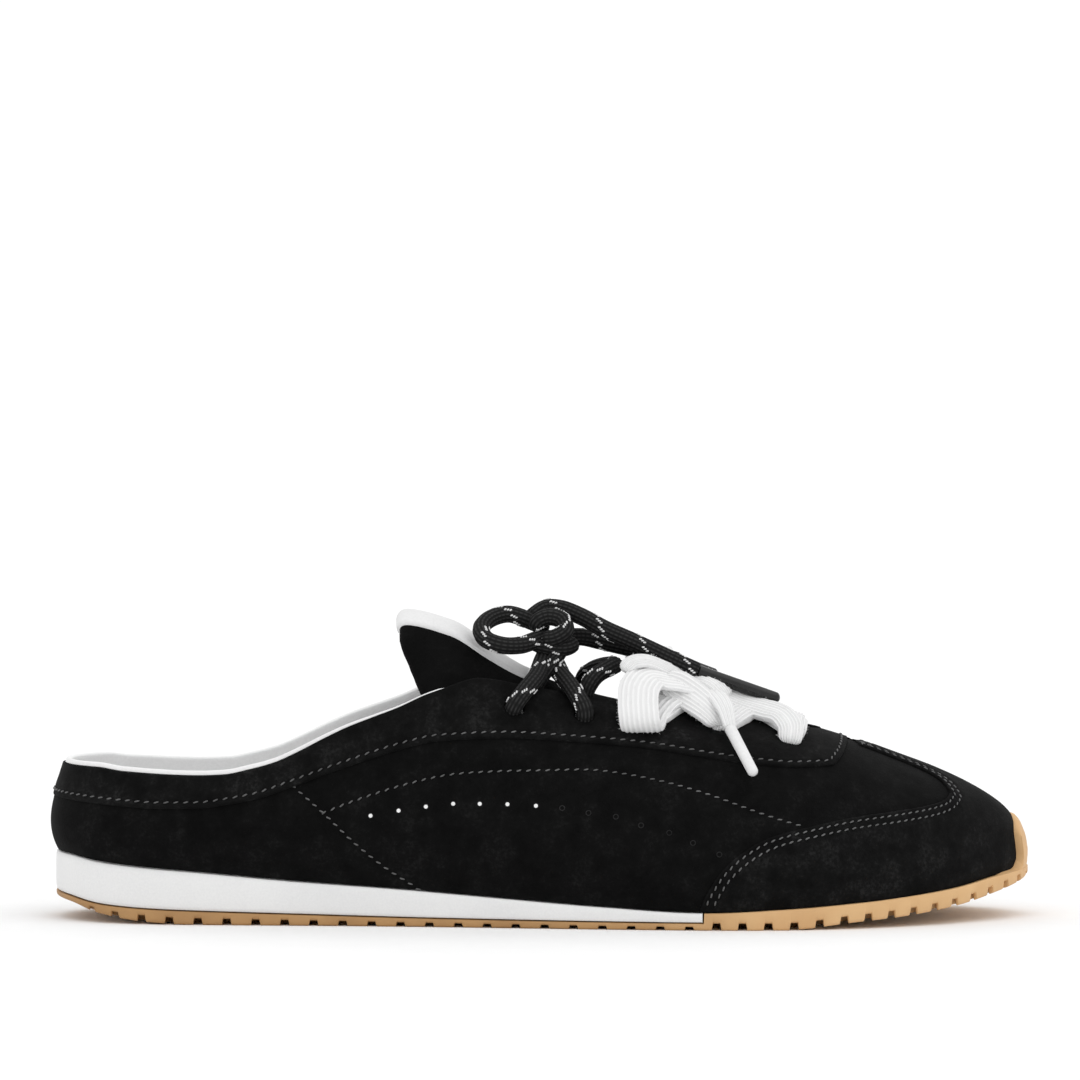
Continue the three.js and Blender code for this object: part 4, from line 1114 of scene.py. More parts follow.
# Stitching: pitch, length and skew of the stitches in each line
PANEL_STITCH, CAP_STITCH, SEAM_STITCH = (2.7, 1.5, 0.3), (2.3, 1.35, 0.25), (2.6, 1.4, 0.3)
STITCH_WIDTH, OVERLAY_STITCH_LIFT, SEAM_STITCH_LIFT = 0.46, OVERLAY - 0.27, -0.24
STRIP_SIDE, STRIP_FRONT = 3.4, 0.86


def toward_inside(u, w, distance, up):
    """Inset that moves towards the ridge (up) or towards the foot."""
    options = [inset_uv(u, w, distance, sign) for sign in (1, -1)]
    gain = [np.median(np.abs(1 - o[1][: len(u) // 3]) - np.abs(1 - w[: len(u) // 3])) for o in options]
    return options[int(np.argmin(gain) if up else np.argmax(gain))]


def sewn(u, w, lift, pitch, length, skew):
    """Stitches along a curve on the last."""
    even_u, even_w = even_uv(u, w, 0.5)
    path = surface(even_u, even_w, lift)
    return stitch_row(path, normal_at(even_u, even_w), pitch, length, skew)


def build_stitches():
    parts = []
    for side in (OUTER, INNER):
        u, w = panel_edge(side)
        u, w = toward_inside(u, w, PANEL_ROWS[0], True)
        keep = (np.abs(1 - w) > 0.02) & (u > 0.004)
        parts += sewn(u[keep], w[keep], OVERLAY_STITCH_LIFT, *PANEL_STITCH)
        u, w = cap_border(side)
        for row in CAP_ROWS:
            ui, wi = toward_inside(u, w, row, False)
            keep = (np.abs(1 - wi) > 0.012) & (np.abs(1 - wi) < 0.985) & (ui < 0.998)
            place = surface(ui, wi)
            across = np.abs(place[:, 1] - middle_y(place[:, 0]))
            # The rear end of the cap's strip has no stitches across it
            keep &= (np.abs(1 - wi) > 0.5) | (across > STRIP_SIDE) | (ui > turn_of(STRIP_FRONT))
            parts += sewn(ui[keep], wi[keep], OVERLAY_STITCH_LIFT, *CAP_STITCH)
        for u, w in SEAM_UV[side]:
            parts += sewn(u, w, SEAM_STITCH_LIFT, *SEAM_STITCH)
    verts, faces = gather(parts)
    return link("suede_stitching", verts, faces, merge=0)


finish_piece(build_stitches(), THREAD)


# Perforations: a rolled lip round each hole, lighter than the suede as a painted highlight, with the lining
# or the dark inside showing
HOLES = [
    (-45.9, 28.4), (-38.3, 29.8), (-30.9, 30.9), (-23.5, 31.7), (-16.3, 31.7), (-8.8, 31.6),
    (-1.1, 31.2), (6, 30.6), (13.1, 29.3), (20.5, 28.3), (27.3, 26), (34.9, 24), (41.3, 21.3),
    (48.4, 18.2),
]
WHITE_HOLES = 7
HOLE_SIDES, LIP_SIDES = 14, 6
LIP_RADIUS, LIP_WIDTH, DISC_RADIUS, DISC_LIFT = 0.66, 0.16, 0.62, 0.06


def ring_round(normal):
    """Unit circle of points that looks along a normal."""
    side_way = unit(np.cross(normal, [0, 0, 1.0]))
    ring = circle(HOLE_SIDES)
    return ring[:, :1] * side_way + ring[:, 1:] * np.cross(normal, side_way)


def disc(centre, normal):
    """Shallow dished disc in a hole."""
    edge = centre + normal * DISC_LIFT + ring_round(normal) * DISC_RADIUS
    middle_point = (centre + normal * (DISC_LIFT - 0.05))[None]
    faces = [(k, (k + 1) % HOLE_SIDES, HOLE_SIDES) for k in range(HOLE_SIDES)]
    return np.concatenate([edge, middle_point]), faces


def lip(centre, normal):
    """Rolled edge round a hole."""
    rows, faces = [], []
    for k in range(LIP_SIDES):
        angle = k / LIP_SIDES * 2 * np.pi
        radius = LIP_RADIUS + LIP_WIDTH * np.cos(angle)
        rows.append(centre + normal * (LIP_WIDTH * np.sin(angle) * 0.7) + ring_round(normal) * radius)
        n = (k + 1) % LIP_SIDES
        for j in range(HOLE_SIDES):
            m = (j + 1) % HOLE_SIDES
            faces.append((k * HOLE_SIDES + j, k * HOLE_SIDES + m, n * HOLE_SIDES + m, n * HOLE_SIDES + j))
    return np.array(rows).reshape(-1, 3), faces


def build_holes():
    lips, dark, white = [], [], []
    for side in (OUTER, INNER):
        u, w = locate([h[0] for h in HOLES], [h[1] for h in HOLES], side)
        places, ways = surface(u, w), normal_at(u, w)
        for k, (place, way) in enumerate(zip(places, ways)):
            lips.append(lip(place, way))
            (white if k < WHITE_HOLES else dark).append(disc(place, way))
    finish_piece(link("perforation_lips", *gather(lips), merge=0), HOLE_LIP_HIGHLIGHT)
    finish_piece(link("perforations_dark", *gather(dark), merge=0), HOLE_DARK)
    finish_piece(link("perforations_white", *gather(white), merge=0), LINING)


build_holes()

# Eyelets: plain holes punched through panel, suede and lining
eyelet_x = EYELET_FRONT - EYELET_PITCH * np.arange(5)


def beside_throat(x, side, distance):
    """Place on the last at x, a distance out from the throat edge, with the way it looks."""
    u = np.array([turn_of(share_of(x))])
    v = first_crossing(u, side, opening_level) - distance / girth(u, side)
    w = w_of(v, side)
    return surface(u, w)[0], normal_at(u, w)[0]


for x in eyelet_x:
    for side in (OUTER, INNER):
        centre, way = beside_throat(x, side, EYELET_INSET)
        for piece in (panel, skin, lining):
            punch(piece, centre, way, EYELET_HOLE / 2)


# Tongue: a padded flap on the last's own form, rolled over at its rear edge
TONGUE_THICK, FACING = 4.2, 0.9
TONGUE_FRONT, FACING_FRONT = 0.8, 0.492
TONGUE_UNDER = WALL + 2 * CLEARANCE


def tongue_form(u, w):
    p = surface(u, w)
    rise = TONGUE_HEIGHT + TONGUE_UNDER - INSTEP_HEIGHT
    back = 1 - smoothstep(share_of(p[..., 0]), 0.42, 0.52)
    top = smoothstep(p[..., 2], 0.82 * INSTEP_HEIGHT, INSTEP_HEIGHT)
    return p + np.stack([0 * top, 0 * top, rise * back * top], -1)


def tongue_rear(z):
    """x of the tongue's rear edge at a height."""
    top = x_of(0.3595) + 1.6
    return np.interp(z, [0, 0.74 * TONGUE_HEIGHT, 0.92 * TONGUE_HEIGHT], [top + 13.5, top + 6.3, top])


def tongue_grid(columns, front):
    """The tongue's middle sheet, from its front to its rear edge, with the way it looks."""
    u_line = np.linspace(turn_of(0.33), turn_of(0.6), 400)
    starts = []
    for w in columns:
        p = tongue_form(u_line, np.full_like(u_line, w))
        beyond = p[:, 0] > tongue_rear(p[:, 2])
        starts.append(u_line[beyond.argmax()])
    rows = np.linspace(0, 1, 90)[:, None]
    u = turn_of(front) * (1 - rows) + np.array(starts)[None] * rows
    w = np.broadcast_to(columns, u.shape)
    p = tongue_form(u, w)
    way = unit(np.cross(np.gradient(p, axis=0), np.gradient(p, axis=1)))
    if way[..., 2].mean() < 0:
        way = -way
    return p, way


def tongue_sleeve(columns, half, proud=0.0, under_rows=90, front=TONGUE_FRONT):
    """Path over the top of the tongue, round its rear edge and back underneath, for each column."""
    p, way = tongue_grid(columns, front)
    middle = p + way * (-TONGUE_UNDER - TONGUE_THICK / 2)
    lift = (half + proud)[None, :, None]
    top = middle + way * lift
    back = unit(middle[-1] - middle[-3])
    rolled = []
    for angle in np.linspace(0, np.pi, 11)[1:-1]:
        rolled.append(middle[-1] + way[-1] * lift[0] * math.cos(angle) + back * lift[0] * math.sin(angle))
    under = (middle - way * lift)[::-1][:under_rows]
    return np.concatenate([top, np.array(rolled), under], 0)


def build_tongue():
    columns = np.linspace(0.52, 1.48, 61)
    edge = np.clip((np.abs(columns - 1) - 0.40) / 0.08, 0, 1)
    half = TONGUE_THICK / 2 * np.sqrt(np.clip(1 - edge ** 2, 0.003, 1))
    sleeve = tongue_sleeve(columns, half)
    return grid_solid("tongue_pad", sleeve)


def grid_solid(name, sleeve):
    """Closed piece from a sleeve: rows go round lengthways, and the side edges are sewn shut."""
    rows, count = sleeve.shape[:2]
    verts, faces = sleeve.reshape(-1, 3), []
    for i in range(rows):
        n = (i + 1) % rows
        for k in range(count - 1):
            faces.append((i * count + k, i * count + k + 1, n * count + k + 1, n * count + k))
    for k in (0, count - 1):
        for i in range(rows // 2):
            a, b = i, rows - 1 - i
            if b - a <= 2:
                break
            faces.append((a * count + k, (a + 1) * count + k, (b - 1) * count + k, b * count + k))
    return link(name, verts, faces, sharp=70)


tongue = finish_piece(build_tongue(), TONGUE_SUEDE, ["tongue"])


def build_facing():
    """White facing along the middle of the tongue, wrapped over its rear edge."""
    columns = np.linspace(0.868, 1.132, 31)
    half = np.full(len(columns), TONGUE_THICK / 2)
    edge = np.clip((np.abs(columns - 1) - 0.117) / 0.015, 0, 1)
    proud = FACING * np.sqrt(np.clip(1 - edge ** 2, 0, 1))
    outer = tongue_sleeve(columns, half, proud + 0.02, 40, FACING_FRONT)
    inner = tongue_sleeve(columns, half, np.full(len(columns), 0.01), 40, FACING_FRONT)
    rows, count = outer.shape[:2]
    verts = np.concatenate([outer.reshape(-1, 3), inner.reshape(-1, 3)])
    faces, base = [], rows * count
    for i in range(rows - 1):
        for k in range(count - 1):
            a = i * count + k
            faces.append((a, a + 1, a + 1 + count, a + count))
            faces.append((a + base + count, a + base + count + 1, a + base + 1, a + base))
        for k in (0, count - 1):
            a = i * count + k
            faces.append((a, a + count, a + base + count, a + base))
    for i in (0, rows - 1):
        for k in range(count - 1):
            a = i * count + k
            faces.append((a, a + 1, a + base + 1, a + base))
    return link("tongue_facing_white", verts, faces, sharp=60, merge=0.002)


finish_piece(build_facing(), FACING_WHITE_SHADED, ["tongue_facing"])


# Sole
def build_midsole():
    turns = np.linspace(0.004, turn_of(0.665) - 0.001, 220)
    share = share_at(turns)
    low, high, draw = welt_z(share), seat_z(share), sole(DRAW, share)
    profile = [
        (0.9, 0.0), (0.25, 0.02), (0.03, 0.12), (0, 0.3), (0, 0.6), (0.05, 0.86), (0.25, 0.97), (0.9, 1.0),
    ]
    rings = []
    for side, order in ((OUTER, profile), (INNER, profile[::-1])):
        for inset, up in order:
            plan = outline(turns, side, draw + inset)
            rings.append(np.concatenate([plan, (low + (high - low) * up)[:, None]], 1))
    rings = np.stack(rings, 1)
    return link("midsole_white", *loft(rings), sharp=70)


finish_piece(build_midsole(), RUBBER, ["midsole"])


def build_insole():
    turns = np.linspace(0.05, 0.9, 120)
    share = share_at(turns)
    inset = sole(TUCK, share) + WALL + 2 * CLEARANCE
    low = seat_z(share) + CLEARANCE
    a, b = outline(turns, OUTER, inset), outline(turns, INNER, inset)
    profile = [
        (0, 0), (0, 2.8), (0.012, 3.3), (0.04, 3.5), (0.12, 3.35), (0.25, 3.0), (0.4, 2.76), (0.5, 2.7),
        (0.6, 2.76), (0.75, 3.0), (0.88, 3.35), (0.96, 3.5), (0.988, 3.3), (1, 2.8), (1, 0),
    ]
    rings = [np.concatenate([a + (b - a) * k, (low + z)[:, None]], 1) for k, z in profile]
    return link("insole_padded", *loft(np.stack(rings, 1)), sharp=60)


finish_piece(build_insole(), LINING, ["insole"])


# Outsole: gum slab with cross lugs, spaced along its outer rim, and a bumper that climbs the toe
RIM_ROUND, LUG_GAP, LUG_DEPTH, LUG_EDGE = 0.9, 2.7, 1.9, 0.4
STEP_SHARE, REAR_PITCH, FRONT_PITCH = 0.665, 7.9, 7.05
GAP_BEHIND_STEP, GAP_BEFORE_STEP = 4, 3.4
# Depth of a gap across the sole: full at both rims, none behind them, and half in the middle
UNDERSIDE = [(0.93, 1), (0.9, 0), (0.8, 0), (0.76, 0.5), (0.24, 0.5), (0.2, 0), (0.1, 0), (0.07, 1)]


def along_rim(turn):
    return np.interp(turn, fine, rim_length)


step_place = along_rim(turn_of(STEP_SHARE))
GAPS = np.concatenate([
    np.arange(step_place - GAP_BEHIND_STEP, along_rim(turn_of(0.03)), -REAR_PITCH)[::-1],
    np.arange(step_place + GAP_BEFORE_STEP, along_rim(0.985), FRONT_PITCH),
])


def lug_cut(turn):
    """0 on a lug and 1 in a gap, with soft edges between."""
    near = np.abs(along_rim(turn)[:, None] - GAPS[None]).min(1)
    return 1 - smoothstep(near, LUG_GAP / 2 - LUG_EDGE, LUG_GAP / 2)


def gum_turns():
    """Turns of the slab's sections, with more of them at the sides of each gap and at the step."""
    half, soft = LUG_GAP / 2, LUG_EDGE
    local = np.array([-half, -half + soft / 3, -half + 2 * soft / 3, -half + soft, 0])
    local = np.concatenate([local, -local[:-1][::-1], [half + 1.3, half + 2.6]])
    places = (GAPS[:, None] + local[None]).ravel()
    places = places[np.abs(places - step_place) > 0.1]
    places = np.append(places, [step_place - 0.05, step_place + 0.05])
    turns = np.interp(places, rim_length, fine)
    ends = [np.linspace(0.006, turns.min(), 10)[:-1], np.linspace(turns.max(), 0.998, 8)[1:]]
    return np.unique(np.concatenate([turns[turns < 0.998], *ends]))


def gum_slab():
    """Sections of the slab: up its outer edge, down its inner one, and back along the underside."""
    turns = gum_turns()
    share = share_at(turns)
    top = np.where(share < STEP_SHARE, welt_z(share) - CLEARANCE, seat_z(share))
    tread = tread_z(share)
    gap = lug_cut(turns) * np.minimum(LUG_DEPTH, 0.5 * (top - tread))
    low = tread + gap
    curl = np.minimum(RIM_ROUND, (top - low) / 2)
    roll = RIM_ROUND + 1.6 * smoothstep(share, 0.93, 1)
    draw = sole(DRAW, share) + 0.1
    halves = []
    for side in (OUTER, INNER):
        rows = []
        for angle in np.linspace(0, np.pi / 2, 5):
            plan = outline(turns, side, draw + roll * (1 - math.sin(angle)))
            rows.append(np.column_stack([plan, low + curl * (1 - math.cos(angle))]))
        for inset, drop in ((0, 0.35), (0.1, 0.1), (0.4, 0)):
            rows.append(np.column_stack([outline(turns, side, draw + inset), top - drop]))
        halves.append(rows)
    under = []
    for across, depth in UNDERSIDE:
        plan = halves[0][0][:, :2] * (1 - across) + halves[1][0][:, :2] * across
        under.append(np.column_stack([plan, tread + gap * depth]))
    return loft(np.stack(halves[0] + halves[1][::-1] + under, 1))


# Toe bumper. BUMPER is its rear edge and TOE_FRONT its front, seen from the side: height and x.
BUMPER_START, BUMPER_RISE, BUMPER_DEPTH, BUMPER_CROWN, BUMPER_EDGE = 0.872, 0.035, 1.2, 14, 1.1
SUNK_END, SUNK = 0.905, 1.3
BUMPER = np.array([
    (6.9, 106.6), (8.2, 112.3), (9.3, 117.2), (10.7, 122.5), (12.3, 127), (14.2, 129.6), (16.3, 130.6),
    (18.9, 130.9), (21.9, 130.6), (24.6, 130), (27, 129.1),
])
TOE_FRONT = np.array([
    (12, 133.2), (14.4, 133.8), (17.4, 134), (21.2, 133.4), (24.6, 132), (26, 130.9), (27, 129.8),
    (29.5, 128),
])
tip_line = surface(np.ones(400), np.linspace(0, 0.8, 400), OVERLAY * np.ones(400))
tip_height = side_height(tip_line)


def tip_x(height):
    """x of the suede's own front at a height."""
    return np.interp(height, tip_height, tip_line[:, 0])


def bumper_level(p):
    """Above 0 where gum covers the toe: in front of its rear edge and under its rounded top."""
    height = side_height(p)
    behind = np.maximum(tip_x(height) - np.interp(height, BUMPER[:, 0], BUMPER[:, 1]), BUMPER_DEPTH)
    inside = p[..., 0] + OVERLAY - tip_x(height) + behind
    across = p[..., 1] - middle_y(LENGTH / 2)
    return np.minimum(inside, BUMPER[-1, 0] - across * across / BUMPER_CROWN - height)


def toe_bumper():
    """Gum over the toe, thinning out at its edge. It starts sunk into the slab."""
    turns = np.linspace(BUMPER_START, 1, 110)
    columns = np.array([0, 0.1, 0.2, 0.3, 0.4, 0.5, 0.6, 0.7, 0.78, 0.84, 0.89, 0.93, 0.965, 0.985, 1])
    share = share_at(turns)
    rings = []
    for side in (OUTER, INNER):
        edge = first_crossing(turns, side, bumper_level)
        begins = turns[edge > 0.004].min()
        edge = np.maximum(edge * smoothstep(turns, begins, begins + BUMPER_RISE), 0.004)
        v = edge[:, None] * columns[None]
        base = surface(turns[:, None], w_of(v, side))
        height = side_height(base)
        full = np.interp(height, TOE_FRONT[:, 0], TOE_FRONT[:, 1]) - tip_x(height)
        full = np.minimum(full, (sole(TUCK, share) - 0.1 - OVERLAY)[:, None] + 0.35)
        from_edge = np.clip((edge[:, None] - v) * girth(turns, side)[:, None] / BUMPER_EDGE, 0, 1)
        thick = np.maximum(full, 0.2) * np.sqrt(1 - (1 - from_edge) ** 2)
        outside = surface(turns[:, None], w_of(v, side), OVERLAY - 0.1 + thick)
        inside = surface(turns[:, None], w_of(v, side), OVERLAY - 0.4 + 0 * v)[:, ::-1]
        low = seat_z(share) - 1.2
        foot = np.column_stack([outline(turns, side, sole(DRAW, share) + 0.1), low])[:, None]
        back = np.column_stack([outline(turns, side, sole(TUCK, share)), low])[:, None]
        ring = np.concatenate([foot, outside, inside, back], 1)
        ring[..., 2] -= SUNK * (1 - smoothstep(turns, BUMPER_START, SUNK_END))[:, None]
        rings.append(ring)
    return loft(np.concatenate([rings[0], rings[1][::-1][1:]], 0))


def build_outsole():
    verts, faces = gather([gum_slab(), toe_bumper()])
    return link("outsole_gum", verts, faces, sharp=50)


finish_piece(build_outsole(), GUM, ["outsole"])


# Laces. Points are millimetres, as in the CAD, and each cord starts where it leaves its knot.
ROPE, BAND, TAIL, BLACK_TIP_WIDTH, WHITE_TIP_WIDTH = 4.8, 11, 5.8, 3.6, 3.3
FLECK_START, FLECK_PITCH = 2.0, 1.65


def uv_layer(piece, around, along, turning):
    """UV map of a tube: u round it, v the distance along it in centimetres."""
    layer = piece.data.uv_layers.new(name="lace")
    order = np.empty(len(piece.data.loops), int)
    piece.data.loops.foreach_get("vertex_index", order)
    u = around[order]
    if turning:
        for face in piece.data.polygons:
            span = slice(face.loop_start, face.loop_start + face.loop_total)
            if face.loop_total == 4 and np.ptp(u[span]) > 0.5:
                u[span] = np.where(u[span] < 0.5, u[span] + 1, u[span])
    layer.data.foreach_set("uv", np.stack([u, along[order]], 1).ravel())


def lace_tube(name, path, profile, faces=None, scale=None):
    """Closed tube with rounded ends along a path."""
    path = np.asarray(path)
    count = len(path)
    scale = np.ones((count, 2)) if scale is None else scale
    rings = tube_rings(path, profile, faces, scale)
    size = len(profile)
    piece = link(name, *loft(rings), merge=0)
    far = run_of(path)
    ring_u = np.arange(size) / size if faces is None else profile[:, 0] / np.abs(profile[:, 0]).max()
    uv_layer(piece, np.tile(ring_u, count), np.repeat(far / 10, size), faces is None)
    return piece


def ribbed_circle(radius, lobes, depth, per_lobe=3):
    count = lobes * per_lobe
    angle = np.arange(count) / count * 2 * np.pi
    r = radius * (1 - depth + depth * np.abs(np.cos(lobes * angle / 2)))
    return np.stack([np.cos(angle) * r, np.sin(angle) * r], 1)


ROPE_PROFILE = ribbed_circle(ROPE / 2, ROPE_RIBS, 0.06, 4)


def flat_profile(width, thick, ribs, depth, count=96):
    """Section of a flat lace: rounded edges, and ribs along both faces."""
    angle = (np.arange(count) + 0.5) / count * 2 * np.pi
    x = np.sign(np.cos(angle)) * np.abs(np.cos(angle)) ** 0.75
    y = np.sign(np.sin(angle)) * np.abs(np.sin(angle)) ** 0.5
    y = y * (1 - depth + depth * np.cos(x * ribs * np.pi))
    return np.stack([x * width / 2, y * thick / 2], 1)


def end_scale(count, reach, least=0.25):
    near = np.minimum(np.arange(count), np.arange(count)[::-1]) / reach
    near = np.clip(near, 0, 1)
    return np.maximum(np.sqrt(1 - (1 - near) ** 2), least)


def flecks(path, radius):
    """White tracer in a rope: groups of three short dashes that climb round it."""
    tangent, across, up = frames(path)
    far = run_of(path)
    parts = []
    for k, where in enumerate(np.arange(FLECK_START, far[-1] - 1.5, FLECK_PITCH)):
        i = int(np.clip(np.searchsorted(far, where), 1, len(path) - 2))
        for j in range(3):
            angle = k * np.pi / 4 + j * 0.1
            way = across[i] * math.cos(angle) + up[i] * math.sin(angle)
            side_way = np.cross(way, tangent[i])
            ahead = unit(tangent[i] + side_way * 0.5)
            centre = path[i] + way * (radius - 0.12) + tangent[i] * 0.72 * j
            parts.append(bar(centre, ahead, way, 0.85, 0.52, 0.4))
    return parts


def rope(name, points, replaces=(), ends=3):
    path = spline(points, 0.55)
    scale = np.repeat(end_scale(len(path), ends)[:, None], 2, 1)
    piece = lace_tube(name, path, ROPE_PROFILE, scale=scale)
    finish_piece(piece, BLACK_CORD, replaces)
    spots = link(name + "_flecks", *gather(flecks(path, ROPE / 2)), merge=0)
    finish_piece(spots, FLECK)
    return piece, spots, path


HAIR_RADIUS, HAIR_REACH = 0.045, 0.9
HAIR_FACES = [(0, 1, 4, 3), (1, 2, 5, 4), (2, 0, 3, 5), (3, 4, 6), (4, 5, 6), (5, 3, 6), (2, 1, 0)]


def hairs(path, faces, width, thick, scale, count):
    """Loose fibres that stand off a flat lace, mostly at its edges."""
    tangent, across, up = frames(path, faces)
    parts = []
    for _ in range(count):
        i = RNG.integers(1, len(path) - 1)
        edge = RNG.random() < 0.6
        sign = RNG.choice([-1, 1])
        place = sign if edge else RNG.uniform(-1, 1)
        face_sign = RNG.choice([-1, 1])
        start = path[i] + across[i] * place * width / 2 * scale[i, 0] * 0.96
        if not edge:
            start = start + up[i] * face_sign * thick / 2 * scale[i, 1] * 0.95
        way = across[i] * sign * (1.0 if edge else 0.3) + up[i] * face_sign * (0.3 if edge else 1)
        way = unit(way + tangent[i] * RNG.uniform(-0.9, 0.9) + RNG.normal(0, 0.25, 3))
        bend = RNG.normal(0, 0.35, 3)
        length = HAIR_REACH * RNG.uniform(0.4, 1.2)
        middle_point = start + way * length * 0.55 + bend * 0.12
        tip_point = start + way * length + bend * 0.35
        a = unit(np.cross(way, [0.3, 0.5, 0.8])) * HAIR_RADIUS
        b = unit(np.cross(way, a)) * HAIR_RADIUS
        corners = np.array([a, b - a / 2, -b - a / 2])
        verts = np.concatenate([start + corners, middle_point + corners * 0.8, [tip_point]])
        parts.append((verts, HAIR_FACES))
    return parts


def flat_lace(name, rows, replaces=(), width=BAND, thick=2.0, wide=None, plump=None, fuzz=260, ends=3,
              ribs=LACE_RIBS):
    """Flat lace. Each row is a point and the way the face looks there. wide and plump scale its section."""
    line = spline(rows, 0.6)
    path, faces = line[:, :3], unit(line[:, 3:])
    share = np.linspace(0, 1, len(path))
    scale = np.ones((len(path), 2))
    if wide:
        scale[:, 0] = np.interp(share, np.linspace(0, 1, len(wide)), wide)
    if plump:
        scale[:, 1] = np.interp(share, np.linspace(0, 1, len(plump)), plump)
    scale *= end_scale(len(path), ends, 0.3)[:, None]
    profile = flat_profile(width, thick, ribs, 0.11)
    piece = lace_tube(name, path, profile, faces, scale)
    finish_piece(piece, WHITE_LACE, replaces)
    fibres = link(name + "_fibres", *gather(hairs(path, faces, width, thick, scale, fuzz)), merge=0)
    finish_piece(fibres, WHITE_LACE)
    return piece, fibres, path


def tip_piece(name, start, end, diameter, material, slot, replaces):
    """Moulded lace tip: a slim tube with a rounded end and a slightly swollen neck."""
    path = even_path(np.array([start, end], float), 0.5)
    share = np.linspace(0, 1, len(path))
    swell = 1 - 0.1 * share + 0.06 * np.exp(-((share - 0.03) / 0.05) ** 2)
    scale = np.repeat((swell * end_scale(len(path), 2.5, 0.35))[:, None], 2, 1)
    piece = lace_tube(name, path, circle(20, diameter / 2), scale=scale)
    return finish_piece(piece, material, replaces)


def declare(path):
    metres = np.asarray(path) * MM
    float(run_of(metres)[-1])


def throat_hole(row, side):
    """Middle of an eyelet on the panel's own surface, and the way it looks."""
    centre, way = beside_throat(eyelet_x[row], side, EYELET_INSET)
    return centre + way * OVERLAY, way


def over_tongue(x, y, lift):
    """Point over the tongue's facing at (x, y)."""
    return np.array([x, middle_y(x) + y, ridge_z(x) - TONGUE_UNDER + FACING + 0.3 + lift - y * y / 70])


def crossing_points(row_a, row_b, radius, hump_lift=0.0):
    """Lace from an eyelet on the outer side over the throat to one on the inner side."""
    points, ways = [], []
    start, way = throat_hole(row_a, OUTER)
    end, end_way = throat_hole(row_b, INNER)
    xa, xb = eyelet_x[row_a], eyelet_x[row_b]
    points += [start - way * 4.5, start + way * (radius * 0.6)]
    ways += [way, way]
    for k, far in ((0.12, 0.55), (0.25, 0.02)):
        place, out = beside_throat(xa + (xb - xa) * k, OUTER, EYELET_INSET * far)
        points.append(place + out * (OVERLAY + radius + 0.15))
        ways.append(out)
    x = (xa + xb) / 2
    middle_point = over_tongue(x, 0, radius)
    edge_z = (points[-1][2] + beside_throat(x, INNER, 0)[0][2] + OVERLAY + radius) / 2
    middle_point[2] = max(middle_point[2], edge_z) + hump_lift
    points.append(middle_point)
    ways.append(np.array([0, 0, 1.0]))
    for k, far in ((0.75, 0.02), (0.88, 0.55)):
        place, out = beside_throat(xa + (xb - xa) * k, INNER, EYELET_INSET * far)
        points.append(place + out * (OVERLAY + radius + 0.15))
        ways.append(out)
    points += [end + end_way * (radius * 0.6), end - end_way * 4.5]
    ways += [end_way, end_way]
    return points, ways


# Black rope: two crossings in the upper rows, a knot, one bow loop and two ends
for name, a, b, hump_lift in (("lace_black_bar_a", 3, 4, 0.0), ("lace_black_bar_b", 4, 3, 3.2)):
    points, ways = crossing_points(a, b, ROPE / 2, hump_lift)
    rope(name, points, ends=1)
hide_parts("lace_black_crossings")

black_loop = [
    (4.6, -4.4, 76.4), (0.1, -8, 76.6), (-5.5, -13.8, 75.2), (-10.5, -16, 75.4), (-14.8, -14.6, 77),
    (-16, -11, 79.6), (-13.6, -7.2, 82), (-8.5, -5, 83.2), (-2, -4.2, 81), (2.4, -3.4, 79),
]
loop, loop_flecks, loop_path = rope("lace_black_bow", black_loop, ["lace_black_loop"])
declare(loop_path)

black_end_one = [
    (-2.6, -3.4, 82), (1.5, -1.5, 84.6), (5.5, -2.2, 84.6), (11, -3.6, 82.6), (18, -5.2, 79),
    (25, -6.6, 76), (32, -7.6, 72.8), (38, -8, 70), (43.4, -8, 67.6),
]
end_one, end_one_flecks, end_one_path = rope(
    "lace_black_strand_a", black_end_one, ["lace_black_end_1"], ends=1.5)
tip_one = tip_piece("lace_black_sleeve_a", (42.6, -8, 67.9), (65.4, -6.6, 60), BLACK_TIP_WIDTH,
                    CLEAR_TIP, "clear_tip", ["lace_black_tip_1"])
declare(end_one_path)

black_end_two = [
    (7, -1.8, 76.8), (11.8, 0.2, 76.6), (16, 1.4, 75.6), (21, 1.6, 74.4), (27, 1.6, 73),
    (33, 1.6, 71.4), (37.4, 1.6, 70), (38.4, 1.6, 69.7),
]
end_two, end_two_flecks, end_two_path = rope(
    "lace_black_strand_b", black_end_two, ["lace_black_end_2"], ends=1.5)
tip_two = tip_piece("lace_black_sleeve_b", (37.6, 1.6, 69.9), (48.6, 1.2, 66), BLACK_TIP_WIDTH,
                    CLEAR_TIP, "clear_tip", ["lace_black_tip_2"])
declare(end_two_path)

# The knot: a wrap round the loop's neck, a curl on top, and two lengths that dive under the near eyestay
knot_wrap = [
    (9.6, -5, 75.4), (6.6, -8.4, 74.2), (2.6, -9.8, 74.4), (-1, -8.2, 75.6), (0, -5, 77),
]
knot_curl = [
    (0.6, -10, 76.6), (4, -10.6, 77), (6.9, -10, 79), (6, -8.4, 81.6), (2.6, -7.6, 82.6),
    (-0.6, -7.4, 81.2), (-0.8, -6.4, 79.2),
]
under_rear = [
    (6.4, -5.4, 75), (4.6, -8.4, 72.4), (2.2, -11.4, 69.4), (0, -14, 66.4), (-1.8, -15.6, 63.2),
    (-2.4, -15.8, 60.4),
]
under_front = [
    (11.8, -13.6, 59.6), (12.8, -14, 63.4), (15, -12.6, 66.6), (18.4, -9.4, 68.6), (20.4, -4.4, 69.2),
    (18, 0.6, 68.8), (14.6, 5, 67.4), (12.2, 10, 65), (11.4, 14, 61.6),
]
rope("lace_black_wrap", knot_wrap, ["lace_black_knot"])
rope("lace_black_curl", knot_curl)
